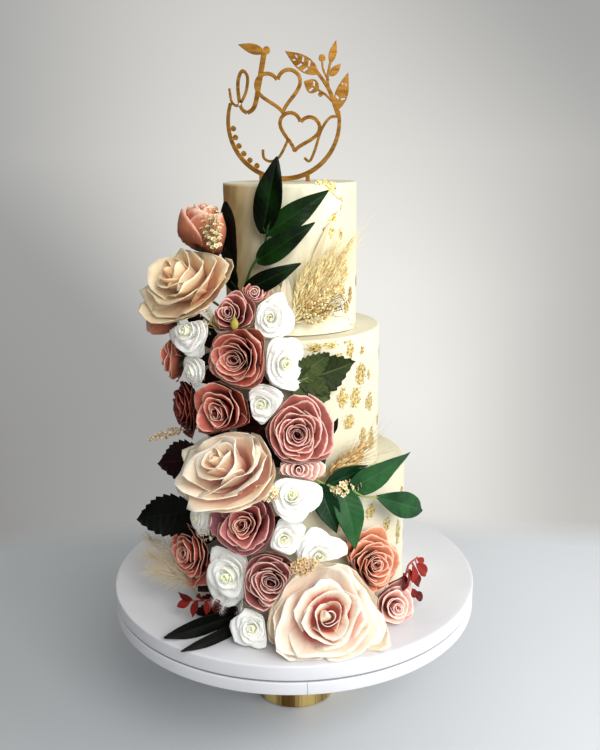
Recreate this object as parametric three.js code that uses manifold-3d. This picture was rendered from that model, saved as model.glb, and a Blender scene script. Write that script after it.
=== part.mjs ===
// Three-tier wedding cake with a cascade of fabric roses, on its round board and pedestal stand.
// Millimetres, +Z up. The origin is the middle of the pedestal's foot, on the table, and the front
// of the cake looks along -Y. Places round the cake are "around", in degrees from the front with the
// right-hand side positive, "out", from the cake's axis, and "up", above the board's top face.
import * as THREE from "three";
import { mergeVertices } from "three/addons/utils/BufferGeometryUtils.js";
import Module from "manifold-3d";

const wasm = await Module();
wasm.setup();

// ---------------------------------------------------------------- driving dimensions

const GAP = 0.3; // clear space between neighbouring pieces
const STAND = { footRadius: 44, footHeight: 113.5, discRadius: 187, discThick: 14, edge: 1.5 };
const BOARD = { radius: 187, thick: 14.5, edge: 1.5 };
const TIERS = [
  { name: "tier_bottom", radius: 114, height: 126, flakes: 9, flakesFrom: 50, flakesTo: 290 },
  { name: "tier_middle", radius: 86.5, height: 138, flakes: 10, flakesFrom: 34, flakesTo: 290 },
  { name: "tier_top", radius: 63.5, height: 136.5, flakes: 5, flakesFrom: 76, flakesTo: 280 },
];
const ICING_COLOR = 0xf4ecd0;
const TIER_EDGE = 1.2; // rounding of the icing's top edge
const ROUND_SIDES = 40;

const BOARD_TOP = STAND.footHeight + STAND.discThick + BOARD.thick;
TIERS.forEach((tier, i) => {
  tier.foot = i ? TIERS[i - 1].top : BOARD_TOP;
  tier.top = tier.foot + tier.height;
});
const TOP_TIER = TIERS[2];

// How each kind of rose is built up. "layers" is the number of petal rings, "lobes" the petals in a
// ring, "crown" the height of the middle and "rim" the height of the outer ring, both as shares of
// the rose's radius; "dip" is the depth of the gaps between rings, and "hollow" sinks the centre.
const KINDS = {
  garden: { layers: 5, lobes: 5, sides: 12, crown: 0.5, rim: 0.02, dip: 0.14, hollow: 0, color: 0xf0d3b4 },
  quartered: { layers: 4, lobes: 4, sides: 10, crown: 0.46, rim: 0, dip: 0.14, hollow: 0.2, color: 0xc4837a },
  foam: { layers: 3, lobes: 4, sides: 8, crown: 0.62, rim: 0.05, dip: 0.12, hollow: 0, color: 0xf6f4ee },
  bud: { layers: 3, lobes: 3, sides: 9, crown: 1, rim: 0.25, dip: 0.1, hollow: 0, color: 0xc9765c },
};

const RUST = 0x9c4a3c;
const CORAL = 0xc47a68;
const PINK = 0xcf9793;

// The cascade. "size" is the head's diameter and "at" its middle, as [around, out, up]. "look" is the
// way it faces: degrees round the cake from the front, then degrees above the horizon. "room" below 1
// lets the neighbours press further in.
const ROSES = [
  { name: "rose_bud_coral", kind: "bud", size: 46, at: [-51, 104, 359], look: [-84, 66] },
  { name: "rose_peach_upper", kind: "garden", size: 96, at: [-55, 117, 315], look: [-60, 32], room: 0.78 },
  { name: "rose_coral_side", kind: "bud", size: 32, at: [-67, 128, 276], look: [-95, -20] },
  { name: "rose_white_1", kind: "foam", size: 40, at: [-45, 128, 272], look: [-40, 10] },
  { name: "rose_dusty_1", kind: "quartered", size: 48, at: [-30, 106, 294], look: [-16, 18] },
  { name: "rose_pink_tiny", kind: "foam", size: 22, at: [-22, 88, 307], look: [-8, 20], color: PINK },
  { name: "rose_white_2", kind: "foam", size: 40, at: [-11, 92, 284], look: [-6, 15] },
  { name: "rose_coral_1", kind: "quartered", size: 60, at: [-24, 120, 255], look: [-32, 8], color: CORAL },
  { name: "rose_rust_1", kind: "quartered", size: 48, at: [-66, 124, 242], look: [-92, 4], color: RUST },
  { name: "rose_white_3", kind: "foam", size: 32, at: [-45, 124, 238], look: [-52, -5] },
  { name: "rose_white_4", kind: "foam", size: 48, at: [-4, 107, 250], look: [20, 8] },
  { name: "rose_white_5", kind: "foam", size: 40, at: [-13, 114, 212], look: [-16, 4] },
  { name: "rose_rust_2", kind: "quartered", size: 50, at: [-56, 123, 199], look: [-68, 0], color: RUST },
  { name: "rose_coral_2", kind: "quartered", size: 60, at: [-31, 126, 205], look: [-28, 5], color: CORAL },
  { name: "rose_peach_middle", kind: "garden", size: 106, at: [-27, 142, 160], look: [-20, 44], room: 0.74 },
  { name: "rose_dusty_2", kind: "quartered", size: 63, at: [4, 116, 191], look: [5, 12] },
  { name: "rose_pink_small", kind: "foam", size: 40, at: [2, 119, 154], look: [0, 12], color: PINK, room: 0.8 },
  { name: "rose_white_6", kind: "foam", size: 46, at: [0, 133, 133], look: [-2, 40] },
  { name: "rose_coral_3", kind: "quartered", size: 64, at: [-18, 143, 110], look: [-20, 20], color: CORAL },
  { name: "rose_white_7", kind: "foam", size: 34, at: [-40, 134, 101], look: [-56, 8] },
  { name: "rose_coral_4", kind: "quartered", size: 56, at: [-48, 134, 59], look: [-64, 4], color: CORAL },
  { name: "rose_white_8", kind: "foam", size: 52, at: [-24, 144, 62], look: [-34, 0] },
  { name: "rose_white_9", kind: "foam", size: 41, at: [-3, 138, 96], look: [-2, 14] },
  { name: "rose_white_10", kind: "foam", size: 45, at: [10, 137, 83], look: [6, 20] },
  { name: "rose_dusty_3", kind: "quartered", size: 58, at: [-8, 149, 57], look: [-8, 22] },
  { name: "rose_white_11", kind: "foam", size: 41, at: [-14, 158, 20], look: [-15, 16] },
  { name: "rose_peach_lower", kind: "garden", size: 118, at: [10, 148, 34], look: [8, 32], room: 0.76 },
  { name: "rose_coral_5", kind: "quartered", size: 58, at: [34, 135, 57], look: [44, 10], color: CORAL },
  { name: "rose_pink_low", kind: "foam", size: 46, at: [38, 149, 19], look: [26, 12], color: PINK },
];
const STEM_RADIUS = 2; // a rose's stem where it leaves the head; it tapers like a floral pick
const STEM_REACH = 150; // longer than any stem: the wall of the cake or the board cuts it short

// Leaves that grow on one stem are one piece. Each leaf runs from "base" to "tip", given as
// [around, out, up]; "bow" lifts its middle off the straight line and "teeth" notch its edge.
const LEAF_COLOR = 0x27462a;
const DARK_LEAF_COLOR = 0x141a12;
const WINE_LEAF_COLOR = 0x3a1418;
const SPRIGS = [
  {
    name: "leaf_sprig_top",
    color: LEAF_COLOR,
    stem: [[-30, 86, 304], [-26, 82, 326], [-18, 79, 345], [-14, 78, 366]],
    leaves: [
      { base: [-19, 77, 358], tip: [-8, 76, 424], width: 26, bow: 3 },
      { base: [-16, 79, 358], tip: [25, 80, 395], width: 22, bow: 6 },
      { base: [-22, 81, 334], tip: [15, 83, 368], width: 20, bow: 6 },
      { base: [-30, 87, 307], tip: [6, 84, 333], width: 18, bow: 7 },
    ],
  },
  {
    name: "leaf_sprig_right",
    color: 0x3d6b44,
    stem: [[9, 114, 143], [16, 119, 136], [24, 124, 132], [30, 127, 124], [36, 129, 121]],
    leaves: [
      { base: [16, 119, 136], tip: [36, 119, 145], width: 17, bow: 3 },
      { base: [24, 124, 132], tip: [54, 135, 155], width: 24, bow: 5 },
      { base: [36, 129, 121], tip: [62, 141, 91], width: 22, bow: 6 },
      { base: [21, 122, 133], tip: [26, 138, 76], width: 26, bow: 4 },
      { base: [11, 119, 139], tip: [17, 132, 98], width: 22, bow: 3 },
      { base: [9, 113, 143], tip: [17, 104, 170], width: 10, bow: 2 },
    ],
  },
  {
    name: "leaf_rose_right",
    color: 0x3f5136,
    stem: [[-2, 98, 226], [4, 98, 230], [8, 99, 233]],
    leaves: [
      { base: [3, 99, 229], tip: [36, 97, 242], width: 38, bow: 5, teeth: 1.6 },
      { base: [0, 98, 230], tip: [20, 98, 211], width: 30, bow: 4, teeth: 1.4 },
    ],
  },
  {
    name: "leaf_dark_upper",
    color: DARK_LEAF_COLOR,
    stem: [[-30, 87, 300], [-34, 86, 308], [-38, 88, 316]],
    leaves: [
      { base: [-33, 86, 303], tip: [-50, 75, 384], width: 22, bow: 3 },
      { base: [-37, 88, 313], tip: [-50, 98, 346], width: 18, bow: 3 },
    ],
  },
  {
    name: "leaf_dark_left",
    color: DARK_LEAF_COLOR,
    leaves: [{ base: [-46, 124, 101], tip: [-62, 168, 92], width: 40, bow: 5, teeth: 1.8 }],
  },
  {
    name: "leaf_wine_left",
    color: WINE_LEAF_COLOR,
    leaves: [{ base: [-46, 112, 150], tip: [-65, 142, 141], width: 40, bow: 3, teeth: 1.6 }],
  },
  {
    name: "leaf_low_left_1",
    color: DARK_LEAF_COLOR,
    leaves: [{ base: [-26, 132, 14], tip: [-40, 183, 5], width: 19, bow: 4 }],
  },
  {
    name: "leaf_low_left_2",
    color: DARK_LEAF_COLOR,
    leaves: [{ base: [-17, 138, 8], tip: [-32, 182, 8], width: 17, bow: 2 }],
  },
  {
    name: "palm_petals_cream",
    color: 0xe9dcc3,
    stem: [[-2, 71, 270], [-5, 71, 280], [-7, 72, 288]],
    leaves: [
      { base: [-4, 72, 274], tip: [-18, 78, 315], width: 15, bow: 2 },
      { base: [-2, 71, 272], tip: [-4, 73, 322], width: 15, bow: 3 },
    ],
  },
  {
    name: "red_sprig_right",
    color: 0x8c352b,
    stem: [[42, 134, 22], [47, 146, 26], [51, 151, 44]],
    leaves: [
      { base: [44, 140, 24], tip: [44, 140, 44], width: 10, bow: 2 },
      { base: [45, 143, 24], tip: [51, 153, 14], width: 12, bow: 2 },
      { base: [48, 148, 30], tip: [55, 156, 36], width: 11, bow: 2 },
      { base: [49, 149, 34], tip: [47, 148, 52], width: 9, bow: 2 },
    ],
  },
  {
    name: "red_sprig_left",
    color: 0x7c2430,
    stem: [[-26, 134, 26], [-33, 146, 30], [-39, 154, 26]],
    leaves: [
      { base: [-29, 140, 28], tip: [-31, 148, 44], width: 12, bow: 2 },
      { base: [-33, 146, 30], tip: [-36, 152, 12], width: 12, bow: 2 },
      { base: [-34, 147, 30], tip: [-41, 150, 38], width: 11, bow: 2 },
      { base: [-37, 151, 27], tip: [-43, 160, 16], width: 9, bow: 2 },
    ],
  },
  {
    name: "leaf_bed_middle",
    color: WINE_LEAF_COLOR,
    stem: [[-36, 101, 190], [-28, 102, 182], [-20, 103, 176]],
    leaves: [
      { base: [-29, 103, 183], tip: [-5, 110, 153], width: 34, bow: 2 },
      { base: [-30, 102, 184], tip: [-8, 104, 214], width: 30, bow: 2 },
      { base: [-33, 102, 187], tip: [-60, 108, 184], width: 30, bow: 4 },
    ],
  },
  {
    name: "leaf_bed_upper",
    color: WINE_LEAF_COLOR,
    stem: [[-42, 103, 268], [-36, 102, 256], [-34, 101, 240]],
    leaves: [
      { base: [-39, 103, 260], tip: [-66, 108, 286], width: 28, bow: 3 },
      { base: [-35, 102, 246], tip: [-62, 106, 222], width: 28, bow: 3 },
      { base: [-34, 101, 243], tip: [-12, 100, 228], width: 26, bow: 3 },
    ],
  },
  {
    name: "leaf_bed_lower",
    color: WINE_LEAF_COLOR,
    stem: [[-34, 127, 100], [-30, 128, 84], [-28, 128, 66]],
    leaves: [
      { base: [-33, 128, 92], tip: [-56, 132, 78], width: 28, bow: 3 },
      { base: [-30, 128, 84], tip: [-4, 126, 112], width: 28, bow: 3 },
      { base: [-28, 128, 70], tip: [-42, 136, 26], width: 30, bow: 3 },
      { base: [-28, 128, 68], tip: [-16, 134, 26], width: 28, bow: 3 },
    ],
  },
];
const LEAF_THICK = 1.2;
const SPRIG_STEM_RADIUS = 1.1;

// Dried ears and plumes: each spike runs from base to tip, with "grains" rings of grains and stiff
// "awns" that fan out past it.
const EARS = [
  {
    name: "wheat_bundle",
    color: 0xcfa866,
    spikes: [
      { base: [0, 72, 280], tip: [46, 78, 350], width: 9, grains: 5, awns: 3, awnLength: 18 },
      { base: [0, 72, 280], tip: [24, 78, 338], width: 9, grains: 5, awns: 4, awnLength: 34 },
      { base: [0, 73, 280], tip: [35, 84, 332], width: 9, grains: 5, awns: 3, awnLength: 24 },
      { base: [1, 73, 279], tip: [28, 86, 313], width: 12, grains: 4, awns: 1, awnLength: 8 },
      { base: [2, 74, 278], tip: [26, 86, 293], width: 12, grains: 4, awns: 1, awnLength: 6 },
      { base: [-1, 72, 281], tip: [11, 76, 329], width: 10, grains: 4, awns: 2, awnLength: 14 },
    ],
  },
  {
    name: "wheat_right",
    color: 0xc79a5c,
    spikes: [{ base: [10, 107, 140], tip: [40, 104, 162], width: 13, grains: 6, awns: 4, awnLength: 24 }],
  },
  {
    name: "pampas_left",
    color: 0xdac6a0,
    spikes: [
      { base: [-46, 126, 34], tip: [-70, 152, 58], width: 16, grains: 5, awns: 2, awnLength: 10 },
      { base: [-44, 128, 26], tip: [-56, 164, 44], width: 15, grains: 4, awns: 2, awnLength: 8 },
    ],
  },
  {
    name: "spike_left",
    color: 0xd9c8a4,
    spikes: [{ base: [-52, 114, 178], tip: [-68, 148, 162], width: 10, grains: 6, awns: 0 }],
  },
];

// Clusters of small dried blossoms: beads round a core.
const CLUSTERS = [
  { name: "blossom_upper", color: 0xe3c2a2, at: [-37, 112, 364], spread: [10, 7, 18], beads: 11, bead: 3.6 },
  { name: "blossom_middle", color: 0xe8d6a8, at: [-10, 138, 139], spread: [12, 5, 7], beads: 8, bead: 3.2 },
  { name: "blossom_low", color: 0xd8bd90, at: [3, 152, 76], spread: [13, 5, 9], beads: 9, bead: 3.2 },
  { name: "blossom_right", color: 0xd9c37c, at: [24, 117, 135], spread: [18, 4, 7], beads: 8, bead: 3.4 },
];

// The torn sheet of wafer paper round the front of the top tier. Its torn edge is given as
// [height above the tier's foot, degrees round].
const WAFER = { from: -72, thick: 1.1, low: 1, high: 135, columns: 8, color: 0xe6cfae };
const TEAR = [[1, 70], [12, 62], [20, 20], [46, 9], [66, 16], [86, 26], [102, 31], [118, 47], [135, 28]];

const TOPPER = {
  thick: 3, radius: 52, band: 4.6, rise: 54.8, shift: -5, stroke: 3.4,
  prongs: [-22, 22], prongWidth: 4, prongDepth: 38,
};
const GOLD = 0xa9762c;
const FLAKE = { size: 9, proud: 0.7, sunk: 1.2 };

// ---------------------------------------------------------------- small helpers

const rad = THREE.MathUtils.degToRad;

// A repeatable random number from 0 to 1.
function makeRandom(seed) {
  let state = seed >>> 0;
  return () => {
    state = (Math.imul(state, 1664525) + 1013904223) >>> 0;
    return state / 4294967296;
  };
}

// A place round the cake as a point.
function place([around, out, up]) {
  return new THREE.Vector3(out * Math.sin(rad(around)), -out * Math.cos(rad(around)), BOARD_TOP + up);
}

function lookVector([around, up]) {
  const flat = Math.cos(rad(up));
  return new THREE.Vector3(flat * Math.sin(rad(around)), -flat * Math.cos(rad(around)), Math.sin(rad(up)));
}

function toSolid(geometry) {
  const bare = geometry.clone();
  bare.deleteAttribute("normal");
  bare.deleteAttribute("uv");
  const merged = mergeVertices(bare, 1e-3);
  const mesh = new wasm.Mesh({
    numProp: 3,
    vertProperties: new Float32Array(merged.attributes.position.array),
    triVerts: new Uint32Array(merged.index.array),
  });
  return new wasm.Manifold(mesh);
}

function toGeometry(solid) {
  const mesh = solid.getMesh();
  return new THREE.BufferGeometry()
    .setAttribute("position", new THREE.BufferAttribute(new Float32Array(mesh.vertProperties), 3))
    .setIndex(new THREE.BufferAttribute(new Uint32Array(mesh.triVerts), 1));
}

// A closed skin from rings of points, each ring of equal length, with its two ends closed.
function skinOfRings(rings, startPoint, endPoint) {
  const sides = rings[0].length;
  const points = [startPoint, ...rings.flat(), endPoint];
  const last = points.length - 1;
  const faces = [];
  const at = (ring, side) => 1 + ring * sides + (side % sides);
  for (let s = 0; s < sides; s++) {
    faces.push(0, at(0, s + 1), at(0, s));
    faces.push(last, at(rings.length - 1, s), at(rings.length - 1, s + 1));
    for (let r = 0; r + 1 < rings.length; r++) {
      faces.push(at(r, s), at(r, s + 1), at(r + 1, s));
      faces.push(at(r, s + 1), at(r + 1, s + 1), at(r + 1, s));
    }
  }
  return new THREE.BufferGeometry()
    .setAttribute("position", new THREE.Float32BufferAttribute(points.flatMap((p) => p.toArray()), 3))
    .setIndex(faces);
}

function makeMesh(name, geometry, color, roughness = 0.75, metalness = 0) {
  const flat = geometry.index ? geometry.toNonIndexed() : geometry.clone();
  flat.computeVertexNormals();
  const material = new THREE.MeshStandardMaterial({ color, roughness, metalness });
  const mesh = new THREE.Mesh(flat, material);
  mesh.name = name;
  return mesh;
}

// The largest single body of a solid: scraps that a cut leaves loose are dropped.
function mainBody(solid) {
  return solid.decompose().sort((a, b) => b.volume() - a.volume())[0];
}

// ---------------------------------------------------------------- stand, board and tiers

// A disc or drum whose top and bottom edges are eased.
function roundSlab(radius, low, high, topEase, bottomEase, sides) {
  const profile = [[0, low]];
  if (bottomEase) profile.push([radius - bottomEase, low], [radius, low + bottomEase]);
  else profile.push([radius, low]);
  if (topEase) profile.push([radius, high - topEase], [radius - topEase, high]);
  else profile.push([radius, high]);
  profile.push([0, high]);
  const points = profile.map(([x, y]) => new THREE.Vector2(x, y));
  return new THREE.LatheGeometry(points, sides).rotateX(Math.PI / 2);
}

// A scrap of gold leaf: an uneven patch that follows the tier's wall and stands a little proud.
function flake(tier, around, up, size, random) {
  const corners = 4;
  const spin = random() * Math.PI;
  const outer = [];
  const inner = [];
  for (let c = 0; c < corners; c++) {
    const angle = spin + (c / corners) * 2 * Math.PI;
    const reach = size * (0.3 + 0.3 * random());
    const turn = rad(around) + (reach * Math.cos(angle)) / tier.radius;
    const height = tier.foot + up + 1.3 * reach * Math.sin(angle);
    const onWall = (r) => new THREE.Vector3(r * Math.sin(turn), -r * Math.cos(turn), height);
    outer.push(onWall(tier.radius + FLAKE.proud));
    inner.push(onWall(tier.radius - FLAKE.sunk));
  }
  const middle = (ring) => ring.reduce((sum, p) => sum.add(p), new THREE.Vector3()).divideScalar(corners);
  return skinOfRings([inner, outer], middle(inner), middle(outer));
}

function tierSolid(tier, index) {
  let solid = toSolid(roundSlab(tier.radius, tier.foot, tier.top, TIER_EDGE, 0, ROUND_SIDES));
  const random = makeRandom(11 + index);
  const span = tier.flakesTo - tier.flakesFrom;
  for (let i = 0; i < tier.flakes; i++) {
    // Even steps round the wall, with the height stepping by the golden ratio so that no two line up.
    const around = tier.flakesFrom + (span * (i + 0.5 * random())) / tier.flakes;
    const up = tier.height * (0.12 + 0.76 * ((i * 0.618 + 0.25) % 1));
    solid = solid.add(toSolid(flake(tier, around, up, FLAKE.size * (0.8 + 0.6 * random()), random)));
  }
  return solid;
}

// The slots that the topper's prongs stand in.
function prongSlots() {
  const width = TOPPER.prongWidth + 2 * GAP;
  const depth = TOPPER.prongDepth + 2 * GAP;
  return TOPPER.prongs.map((x) => {
    const slot = new THREE.BoxGeometry(width, TOPPER.thick + 2 * GAP, 2 * depth);
    return toSolid(slot.translate(x + TOPPER.shift, 0, TOP_TIER.top));
  });
}

// ---------------------------------------------------------------- wafer paper

function tearAt(height) {
  const i = Math.max(1, TEAR.findIndex(([h]) => h >= height));
  const [h0, a0] = TEAR[i - 1];
  const [h1, a1] = TEAR[i];
  return a0 + ((a1 - a0) * (height - h0)) / (h1 - h0);
}

// A thin wall round the tier, of which only the part up to the torn edge is kept.
function waferSheet() {
  const inside = TOP_TIER.radius + 2 * GAP;
  const [low, high] = [TOP_TIER.foot + WAFER.low, TOP_TIER.foot + WAFER.high];
  const drum = (radius, spare) => toSolid(roundSlab(radius, low - spare, high + spare, 0, 0, ROUND_SIDES));
  const wall = drum(inside + WAFER.thick, 0).subtract(drum(inside, 5));
  const reach = 1.3 * inside;
  const sector = (height) => {
    const edge = tearAt(height);
    const arc = Array.from({ length: WAFER.columns + 1 }, (_, c) => {
      const around = rad(WAFER.from + ((edge - WAFER.from) * c) / WAFER.columns);
      return new THREE.Vector3(reach * Math.sin(around), -reach * Math.cos(around), TOP_TIER.foot + height);
    });
    return [new THREE.Vector3(0, 0, TOP_TIER.foot + height), ...arc];
  };
  const rows = TEAR.map(([height]) => sector(height));
  const within = (row) => row[0].clone().add(row[WAFER.columns / 2]).multiplyScalar(0.5);
  const kept = facingOut(skinOfRings(rows, within(rows[0]), within(rows.at(-1))));
  return wall.intersect(kept);
}

// A closed slab from rows of loops, each loop running along one face and back along the other, so
// that both faces are split into triangles alike.
function gridShell(loops) {
  const size = loops[0].length;
  const half = size / 2;
  const points = loops.flat();
  const faces = [];
  const at = (row, i) => row * size + ((i + size) % size);
  for (let row = 0; row + 1 < loops.length; row++) {
    for (let i = 0; i < size; i++) {
      const [a, b, c, d] = [at(row, i), at(row, i + 1), at(row + 1, i + 1), at(row + 1, i)];
      if (i < half) faces.push(a, b, c, a, c, d);
      else faces.push(a, b, d, b, c, d);
    }
  }
  const last = loops.length - 1;
  for (let i = 0; i + 1 < half; i++) {
    const [a, b, c, d] = [i, i + 1, size - 2 - i, size - 1 - i];
    faces.push(at(0, a), at(0, c), at(0, b), at(0, a), at(0, d), at(0, c));
    faces.push(at(last, a), at(last, b), at(last, c), at(last, a), at(last, c), at(last, d));
  }
  return new THREE.BufferGeometry()
    .setAttribute("position", new THREE.Float32BufferAttribute(points.flatMap((p) => p.toArray()), 3))
    .setIndex(faces);
}

// ---------------------------------------------------------------- roses

// Each rose keeps to a cell of its own, walled off from its neighbours, the tiers and the board.
// A wall is a direction from the rose's centre and how far it may reach that way.
function wallsOf(rose) {
  const centre = place(rose.at);
  const radius = (rose.size / 2) * (rose.room ?? 1);
  const walls = [];
  for (const other of ROSES) {
    if (other === rose) continue;
    const away = place(other.at).sub(centre);
    const distance = away.length();
    const otherRadius = (other.size / 2) * (other.room ?? 1);
    if (distance > (rose.size + other.size) / 2) continue;
    const share = (distance ** 2 + radius ** 2 - otherRadius ** 2) / (2 * distance);
    walls.push({ normal: away.divideScalar(distance), reach: share - GAP / 2 });
  }
  const inward = new THREE.Vector3(-centre.x, -centre.y, 0).normalize();
  for (const tier of TIERS) {
    const beside = rose.at[1] - tier.radius;
    const above = centre.z - tier.top;
    const cover = tier === TOP_TIER ? 2 * GAP + WAFER.thick : 0;
    if (beside > above) walls.push({ normal: inward, reach: beside - cover - 2 * GAP });
    else walls.push({ normal: new THREE.Vector3(0, 0, -1), reach: above - GAP });
  }
  walls.push({ normal: new THREE.Vector3(0, 0, -1), reach: centre.z - BOARD_TOP - GAP });
  return walls;
}

// Squeezes a point softly into its rose's cell: within three quarters of the way to the wall nothing
// moves, and beyond that it nears the wall without ever touching it.
function pressInto(offset, walls) {
  const distance = offset.length();
  if (distance < 1e-6) return offset;
  let limit = Infinity;
  for (const { normal, reach } of walls) {
    const toward = offset.dot(normal) / distance;
    if (toward > 1e-3) limit = Math.min(limit, reach / toward);
  }
  const free = 0.75 * limit;
  if (distance <= free) return offset;
  const pressed = free + (limit - free) * (1 - Math.exp((free - distance) / (limit - free)));
  return offset.multiplyScalar(pressed / distance);
}

// The rose's own outline, seen from the side: petal edges and the gaps between them from the middle
// outwards, then the underside, the calyx and the stem. Each step is [radius, height, lobe depth].
function roseProfile(kind, radius) {
  const crownAt = (t) => kind.rim + (kind.crown - kind.rim) * Math.cos((t * Math.PI) / 2) ** 0.8;
  const heightAt = (t) => crownAt(t) - kind.hollow * Math.max(0, 1 - 2.2 * t);
  const steps = [];
  for (let k = 1; k <= kind.layers; k++) {
    const edge = k / kind.layers;
    steps.push([radius * edge ** 0.92, radius * heightAt(edge), 0.09]);
    if (k === kind.layers) break;
    const valley = edge + 0.34 / kind.layers;
    steps.push([radius * valley ** 0.92, radius * (heightAt(edge) - kind.dip), 0.03]);
  }
  steps.push([radius * 0.8, -radius * 0.3, 0.05]);
  if (kind !== KINDS.foam) steps.push([radius * 0.3, -radius * 0.62, 0]);
  steps.push([STEM_RADIUS, -radius * 0.78, 0]);
  return steps;
}

function roseGeometry(rose, index) {
  const kind = KINDS[rose.kind];
  const radius = rose.size / 2;
  const walls = wallsOf(rose);
  const centre = place(rose.at);
  const turn = new THREE.Quaternion().setFromUnitVectors(new THREE.Vector3(0, 0, 1), lookVector(rose.look));
  const spin = index * 2.4;
  const settle = (x, y, z) =>
    pressInto(new THREE.Vector3(x, y, z).applyQuaternion(turn), walls).add(centre);
  const rings = roseProfile(kind, radius).map(([r, h, lobe], step) => {
    const ring = [];
    for (let s = 0; s < kind.sides; s++) {
      const angle = spin + (s / kind.sides) * 2 * Math.PI;
      // Each ring of petals is turned against the one inside it.
      const wave = Math.cos(kind.lobes * (angle - Math.floor(step / 2) * 1.1));
      const reach = r * (1 + lobe * wave);
      ring.push(settle(reach * Math.cos(angle), reach * Math.sin(angle), h - 0.5 * lobe * radius * wave));
    }
    return ring;
  });
  const middle = (KINDS[rose.kind].crown - kind.hollow - 0.6 * kind.dip) * radius;
  return skinOfRings(rings, settle(0, 0, middle), settle(0, 0, -STEM_REACH));
}

// ---------------------------------------------------------------- leaves

// Points of a leaf's midrib from base to tip, bowed away from the cake.
function midrib({ base, tip, bow = 0 }, count) {
  const start = place(base);
  const end = place(tip);
  const middle = start.clone().add(end).multiplyScalar(0.5);
  const outward = new THREE.Vector3(middle.x, middle.y, 0).normalize();
  middle.addScaledVector(outward, 2 * bow);
  const curve = new THREE.QuadraticBezierCurve3(start, middle, end);
  return Array.from({ length: count }, (_, i) => curve.getPoint(i / (count - 1)));
}

// A thin blade with a folded midrib and a wavy edge.
function leafBlade(leaf) {
  const stations = leaf.teeth ? 8 : leaf.width > 15 ? 5 : 4;
  const rib = midrib(leaf, stations);
  const loops = rib.map((point, i) => {
    const t = i / (stations - 1);
    const along = rib[Math.min(i + 1, stations - 1)].clone().sub(rib[Math.max(i - 1, 0)]).normalize();
    const outward = new THREE.Vector3(point.x, point.y, 0).normalize();
    const side = new THREE.Vector3().crossVectors(along, outward).normalize();
    const face = new THREE.Vector3().crossVectors(side, along).normalize();
    const swell = Math.sin(Math.PI * (0.06 + 0.9 * t) ** 0.85);
    const notch = leaf.teeth ? leaf.teeth * (i % 2 ? 1 : -1) : 0;
    const half = Math.max(1.2, (leaf.width / 2) * swell + notch);
    const wave = 0.06 * leaf.width * Math.sin(5 * t);
    const across = [-half, 0, half].map((x, j) => {
      const fold = j === 1 ? -0.08 * leaf.width * swell : (j - 1) * wave;
      return point.clone().addScaledVector(side, x).addScaledVector(face, fold);
    });
    const under = across.map((p) => p.clone().addScaledVector(face, -LEAF_THICK)).reverse();
    return [...across, ...under];
  });
  return gridShell(loops);
}

function tube(points, radius, sides) {
  const curve = new THREE.CatmullRomCurve3(points.map(place));
  const section = new THREE.Shape();
  for (let i = 0; i < sides; i++) {
    const angle = (i / sides) * 2 * Math.PI;
    section[i ? "lineTo" : "moveTo"](radius * Math.cos(angle), radius * Math.sin(angle));
  }
  section.closePath();
  return new THREE.ExtrudeGeometry(section, { steps: 3, extrudePath: curve });
}

function facingOut(geometry) {
  const solid = toSolid(geometry);
  if (solid.volume() > 0) return solid;
  const turned = geometry.index ? geometry.clone() : mergeVertices(geometry);
  const order = turned.index.array;
  for (let i = 0; i < order.length; i += 3) [order[i], order[i + 1]] = [order[i + 1], order[i]];
  return toSolid(turned);
}

function sprigSolid(sprig) {
  const parts = sprig.leaves.map((leaf) => facingOut(leafBlade(leaf)));
  if (sprig.stem) parts.push(facingOut(tube(sprig.stem, SPRIG_STEM_RADIUS, 4)));
  return parts.reduce((all, part) => all.add(part));
}

// ---------------------------------------------------------------- dried ears, plumes and blossoms

// One ear: a spindle whose rings swell and pinch as its grains do, on a thin stalk, with awns.
function spikeParts({ base, tip, width, grains, awns, awnLength }) {
  const start = place(base);
  const end = place(tip);
  const along = end.clone().sub(start);
  const length = along.length();
  const turn = new THREE.Quaternion().setFromUnitVectors(new THREE.Vector3(0, 0, 1), along.normalize());
  const settle = (x, y, z) => new THREE.Vector3(x, y, z).applyQuaternion(turn).add(start);
  const sides = 4;
  const rings = [];
  for (let i = 0; i <= 2 * grains; i++) {
    const t = 0.3 + (0.68 * i) / (2 * grains);
    const swell = Math.sin(Math.PI * (0.1 + (0.8 * i) / (2 * grains)));
    const radius = (width / 2) * swell * (i % 2 ? 1 : 0.62);
    const twist = i * 0.6;
    rings.push(
      Array.from({ length: sides }, (_, s) => {
        const angle = twist + (s / sides) * 2 * Math.PI;
        return settle(radius * Math.cos(angle), radius * Math.sin(angle), length * t);
      }),
    );
  }
  const stalk = Array.from({ length: sides }, (_, s) => {
    const angle = (s / sides) * 2 * Math.PI;
    return settle(1.1 * Math.cos(angle), 1.1 * Math.sin(angle), 0);
  });
  const parts = [facingOut(skinOfRings([stalk, ...rings], settle(0, 0, 0), settle(0, 0, length)))];
  for (let i = 0; i < awns; i++) {
    const angle = (i / awns) * 2 * Math.PI + 0.5;
    const lean = 0.22 * awnLength;
    const foot = length * (0.62 + 0.08 * i);
    const root = Array.from({ length: 3 }, (_, s) => {
      const a = (s / 3) * 2 * Math.PI;
      return settle(0.9 * Math.cos(a), 0.9 * Math.sin(a), foot);
    });
    const reach = length + awnLength * (0.6 + 0.1 * i);
    const point = settle(lean * Math.cos(angle), lean * Math.sin(angle), reach);
    parts.push(facingOut(skinOfRings([root], settle(0, 0, foot - 1), point)));
  }
  return parts;
}

function earSolid(ear) {
  return ear.spikes.flatMap(spikeParts).reduce((all, part) => all.add(part));
}

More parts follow.
